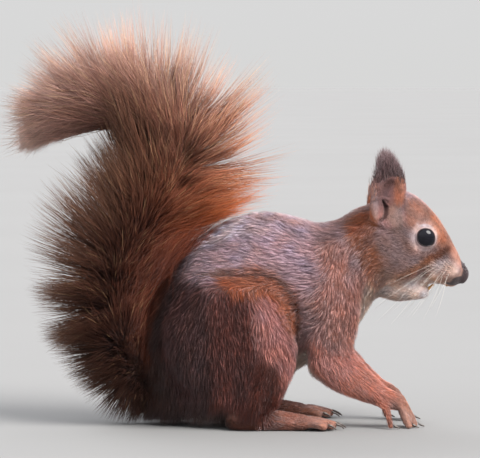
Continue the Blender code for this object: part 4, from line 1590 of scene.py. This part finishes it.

# %% [markdown]
# ## Each piece's finish, and the solids it hides
#
# Every piece rides on the one body. The skin takes the place of all the solids of flesh, which are hidden,
# and the finer eyes, claws and teeth take the place of theirs. A word in a coat piece's name says which fur
# it has, so one table serves them all.

# %% The skin and the coat
KINDS = [  # a word in the piece's name, its fur, and the record's slot for it; the first that fits
    ("tail", tail_fur, "fur_tail"),
    ("haunch", haunch_fur, "fur_body"),
    ("ear", ear_fur, "ear"),
    ("head", head_fur, "fur_head"),
    ("face", head_fur, "fur_head"),
    ("feet", body_fur, "fur_legs"),
    ("coat", body_fur, "fur_body"),
]
give(skin, skin_finish)
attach(skin, "root")
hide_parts(*FLESH, *TAIL)
for piece in coat_pieces:
    fur, slot = next((fur, slot) for word, fur, slot in KINDS if word in piece.name)
    give(piece, fur)
    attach(piece, "root")
print("the skin stands for", len(FLESH) + len(TAIL), "solids and wears", len(coat_pieces), "pieces of coat")

# %% The whiskers, eyes, claws and teeth
give(whisker_piece, whisker_finish)
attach(whisker_piece, "root")
for side, eye in eyes.items():
    give(eye, eye_finish)
    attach(eye, "root")
    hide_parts(f"eye_{side}")
for name, piece in hard_pieces.items():
    is_tooth = "teeth" in name
    give(piece, enamel if is_tooth else horn)
    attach(piece, "root")
    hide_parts(*hard[name])
print(1 + len(eyes) + len(hard_pieces), "bare pieces")

# %% [markdown]
# ## Floor, light and camera
#
# A pale floor under a pale sky, a large soft lamp from above and in front of the animal, and a weak one from
# behind it. Lamps near the animal could do it too, but would leave a bright pool on the floor, so both are as
# far off as the sun. The camera stands well back with a long lens, a little above the floor, so that the
# shape is seen without distortion.

# %% The floor
bpy.ops.object.select_all(action="DESELECT")
bpy.ops.mesh.primitive_plane_add(size=60, location=(0, 0, 0))
floor = bpy.context.active_object
floor.name = "floor"
floor_finish, tree, shader = material("floor", {"Roughness": 0.9})
stained(tree, shader, noise(tree, 0.4), (0.3, (0.224, 0.222, 0.219)), (0.7, (0.234, 0.232, 0.229)))
give(floor, floor_finish)
print("a floor,", floor.dimensions.x, "m wide")

# %% The sky and the lamps
SKY = [  # height above the horizon, colour
    (0.0, (0.525, 0.525, 0.523)),
    (0.10, (0.55, 0.55, 0.56)),
    (0.5, (0.95, 0.96, 1.0)),
]
SKY_STRENGTH = 1.30
world = bpy.data.worlds.new("studio")
world.use_nodes = True
tree = world.node_tree
direction = tree.nodes.new("ShaderNodeTexCoord")
parts = tree.nodes.new("ShaderNodeSeparateXYZ")
tree.links.new(direction.outputs["Generated"], parts.inputs["Vector"])
tree.links.new(ramp(tree, parts.outputs["Z"], SKY), tree.nodes["Background"].inputs["Color"])
tree.nodes["Background"].inputs["Strength"].default_value = SKY_STRENGTH
bpy.context.scene.world = world


def lamp(name, strength, softness, way, colour):
    """A lamp as far off as the sun, so that it lights the whole floor alike."""
    data = bpy.data.lights.new(name, "SUN")
    data.energy = strength
    data.angle = math.radians(softness)
    data.color = colour
    made = bpy.data.objects.new(name, data)
    made.rotation_euler = Vector(way).to_track_quat("Z", "Y").to_euler()
    bpy.context.scene.collection.objects.link(made)
    return made


lamps = [
    lamp("key", 4.8, 36, (0.50, -0.44, 0.75), (1.0, 0.98, 0.95)),
    lamp("rim", 1.2, 35, (-0.5, 0.6, 0.6), (0.95, 0.97, 1.0)),
]
print(len(lamps), "lamps")

# %% Camera
VIEW_WIDTH = 240  # mm of the subject across the picture
VIEW_UP = math.radians(3)
DISTANCE = 1500
SENSOR = 36
AIM = Vector((0, 0, 97.75))  # where it looks, from the layout point
camera_data = bpy.data.cameras.new("camera")
camera_data.sensor_width = SENSOR
camera_data.lens = SENSOR * DISTANCE / VIEW_WIDTH
camera_data.clip_end = 50
camera = bpy.data.objects.new("camera", camera_data)
camera.location = place(*(AIM + Vector((0, -math.cos(VIEW_UP), math.sin(VIEW_UP))) * DISTANCE))
camera.rotation_euler = (math.pi / 2 - VIEW_UP, 0, 0)
bpy.context.scene.collection.objects.link(camera)
bpy.context.scene.camera = camera
bpy.context.scene.view_settings.view_transform = "Standard"
print("lens of", round(camera_data.lens), "mm")
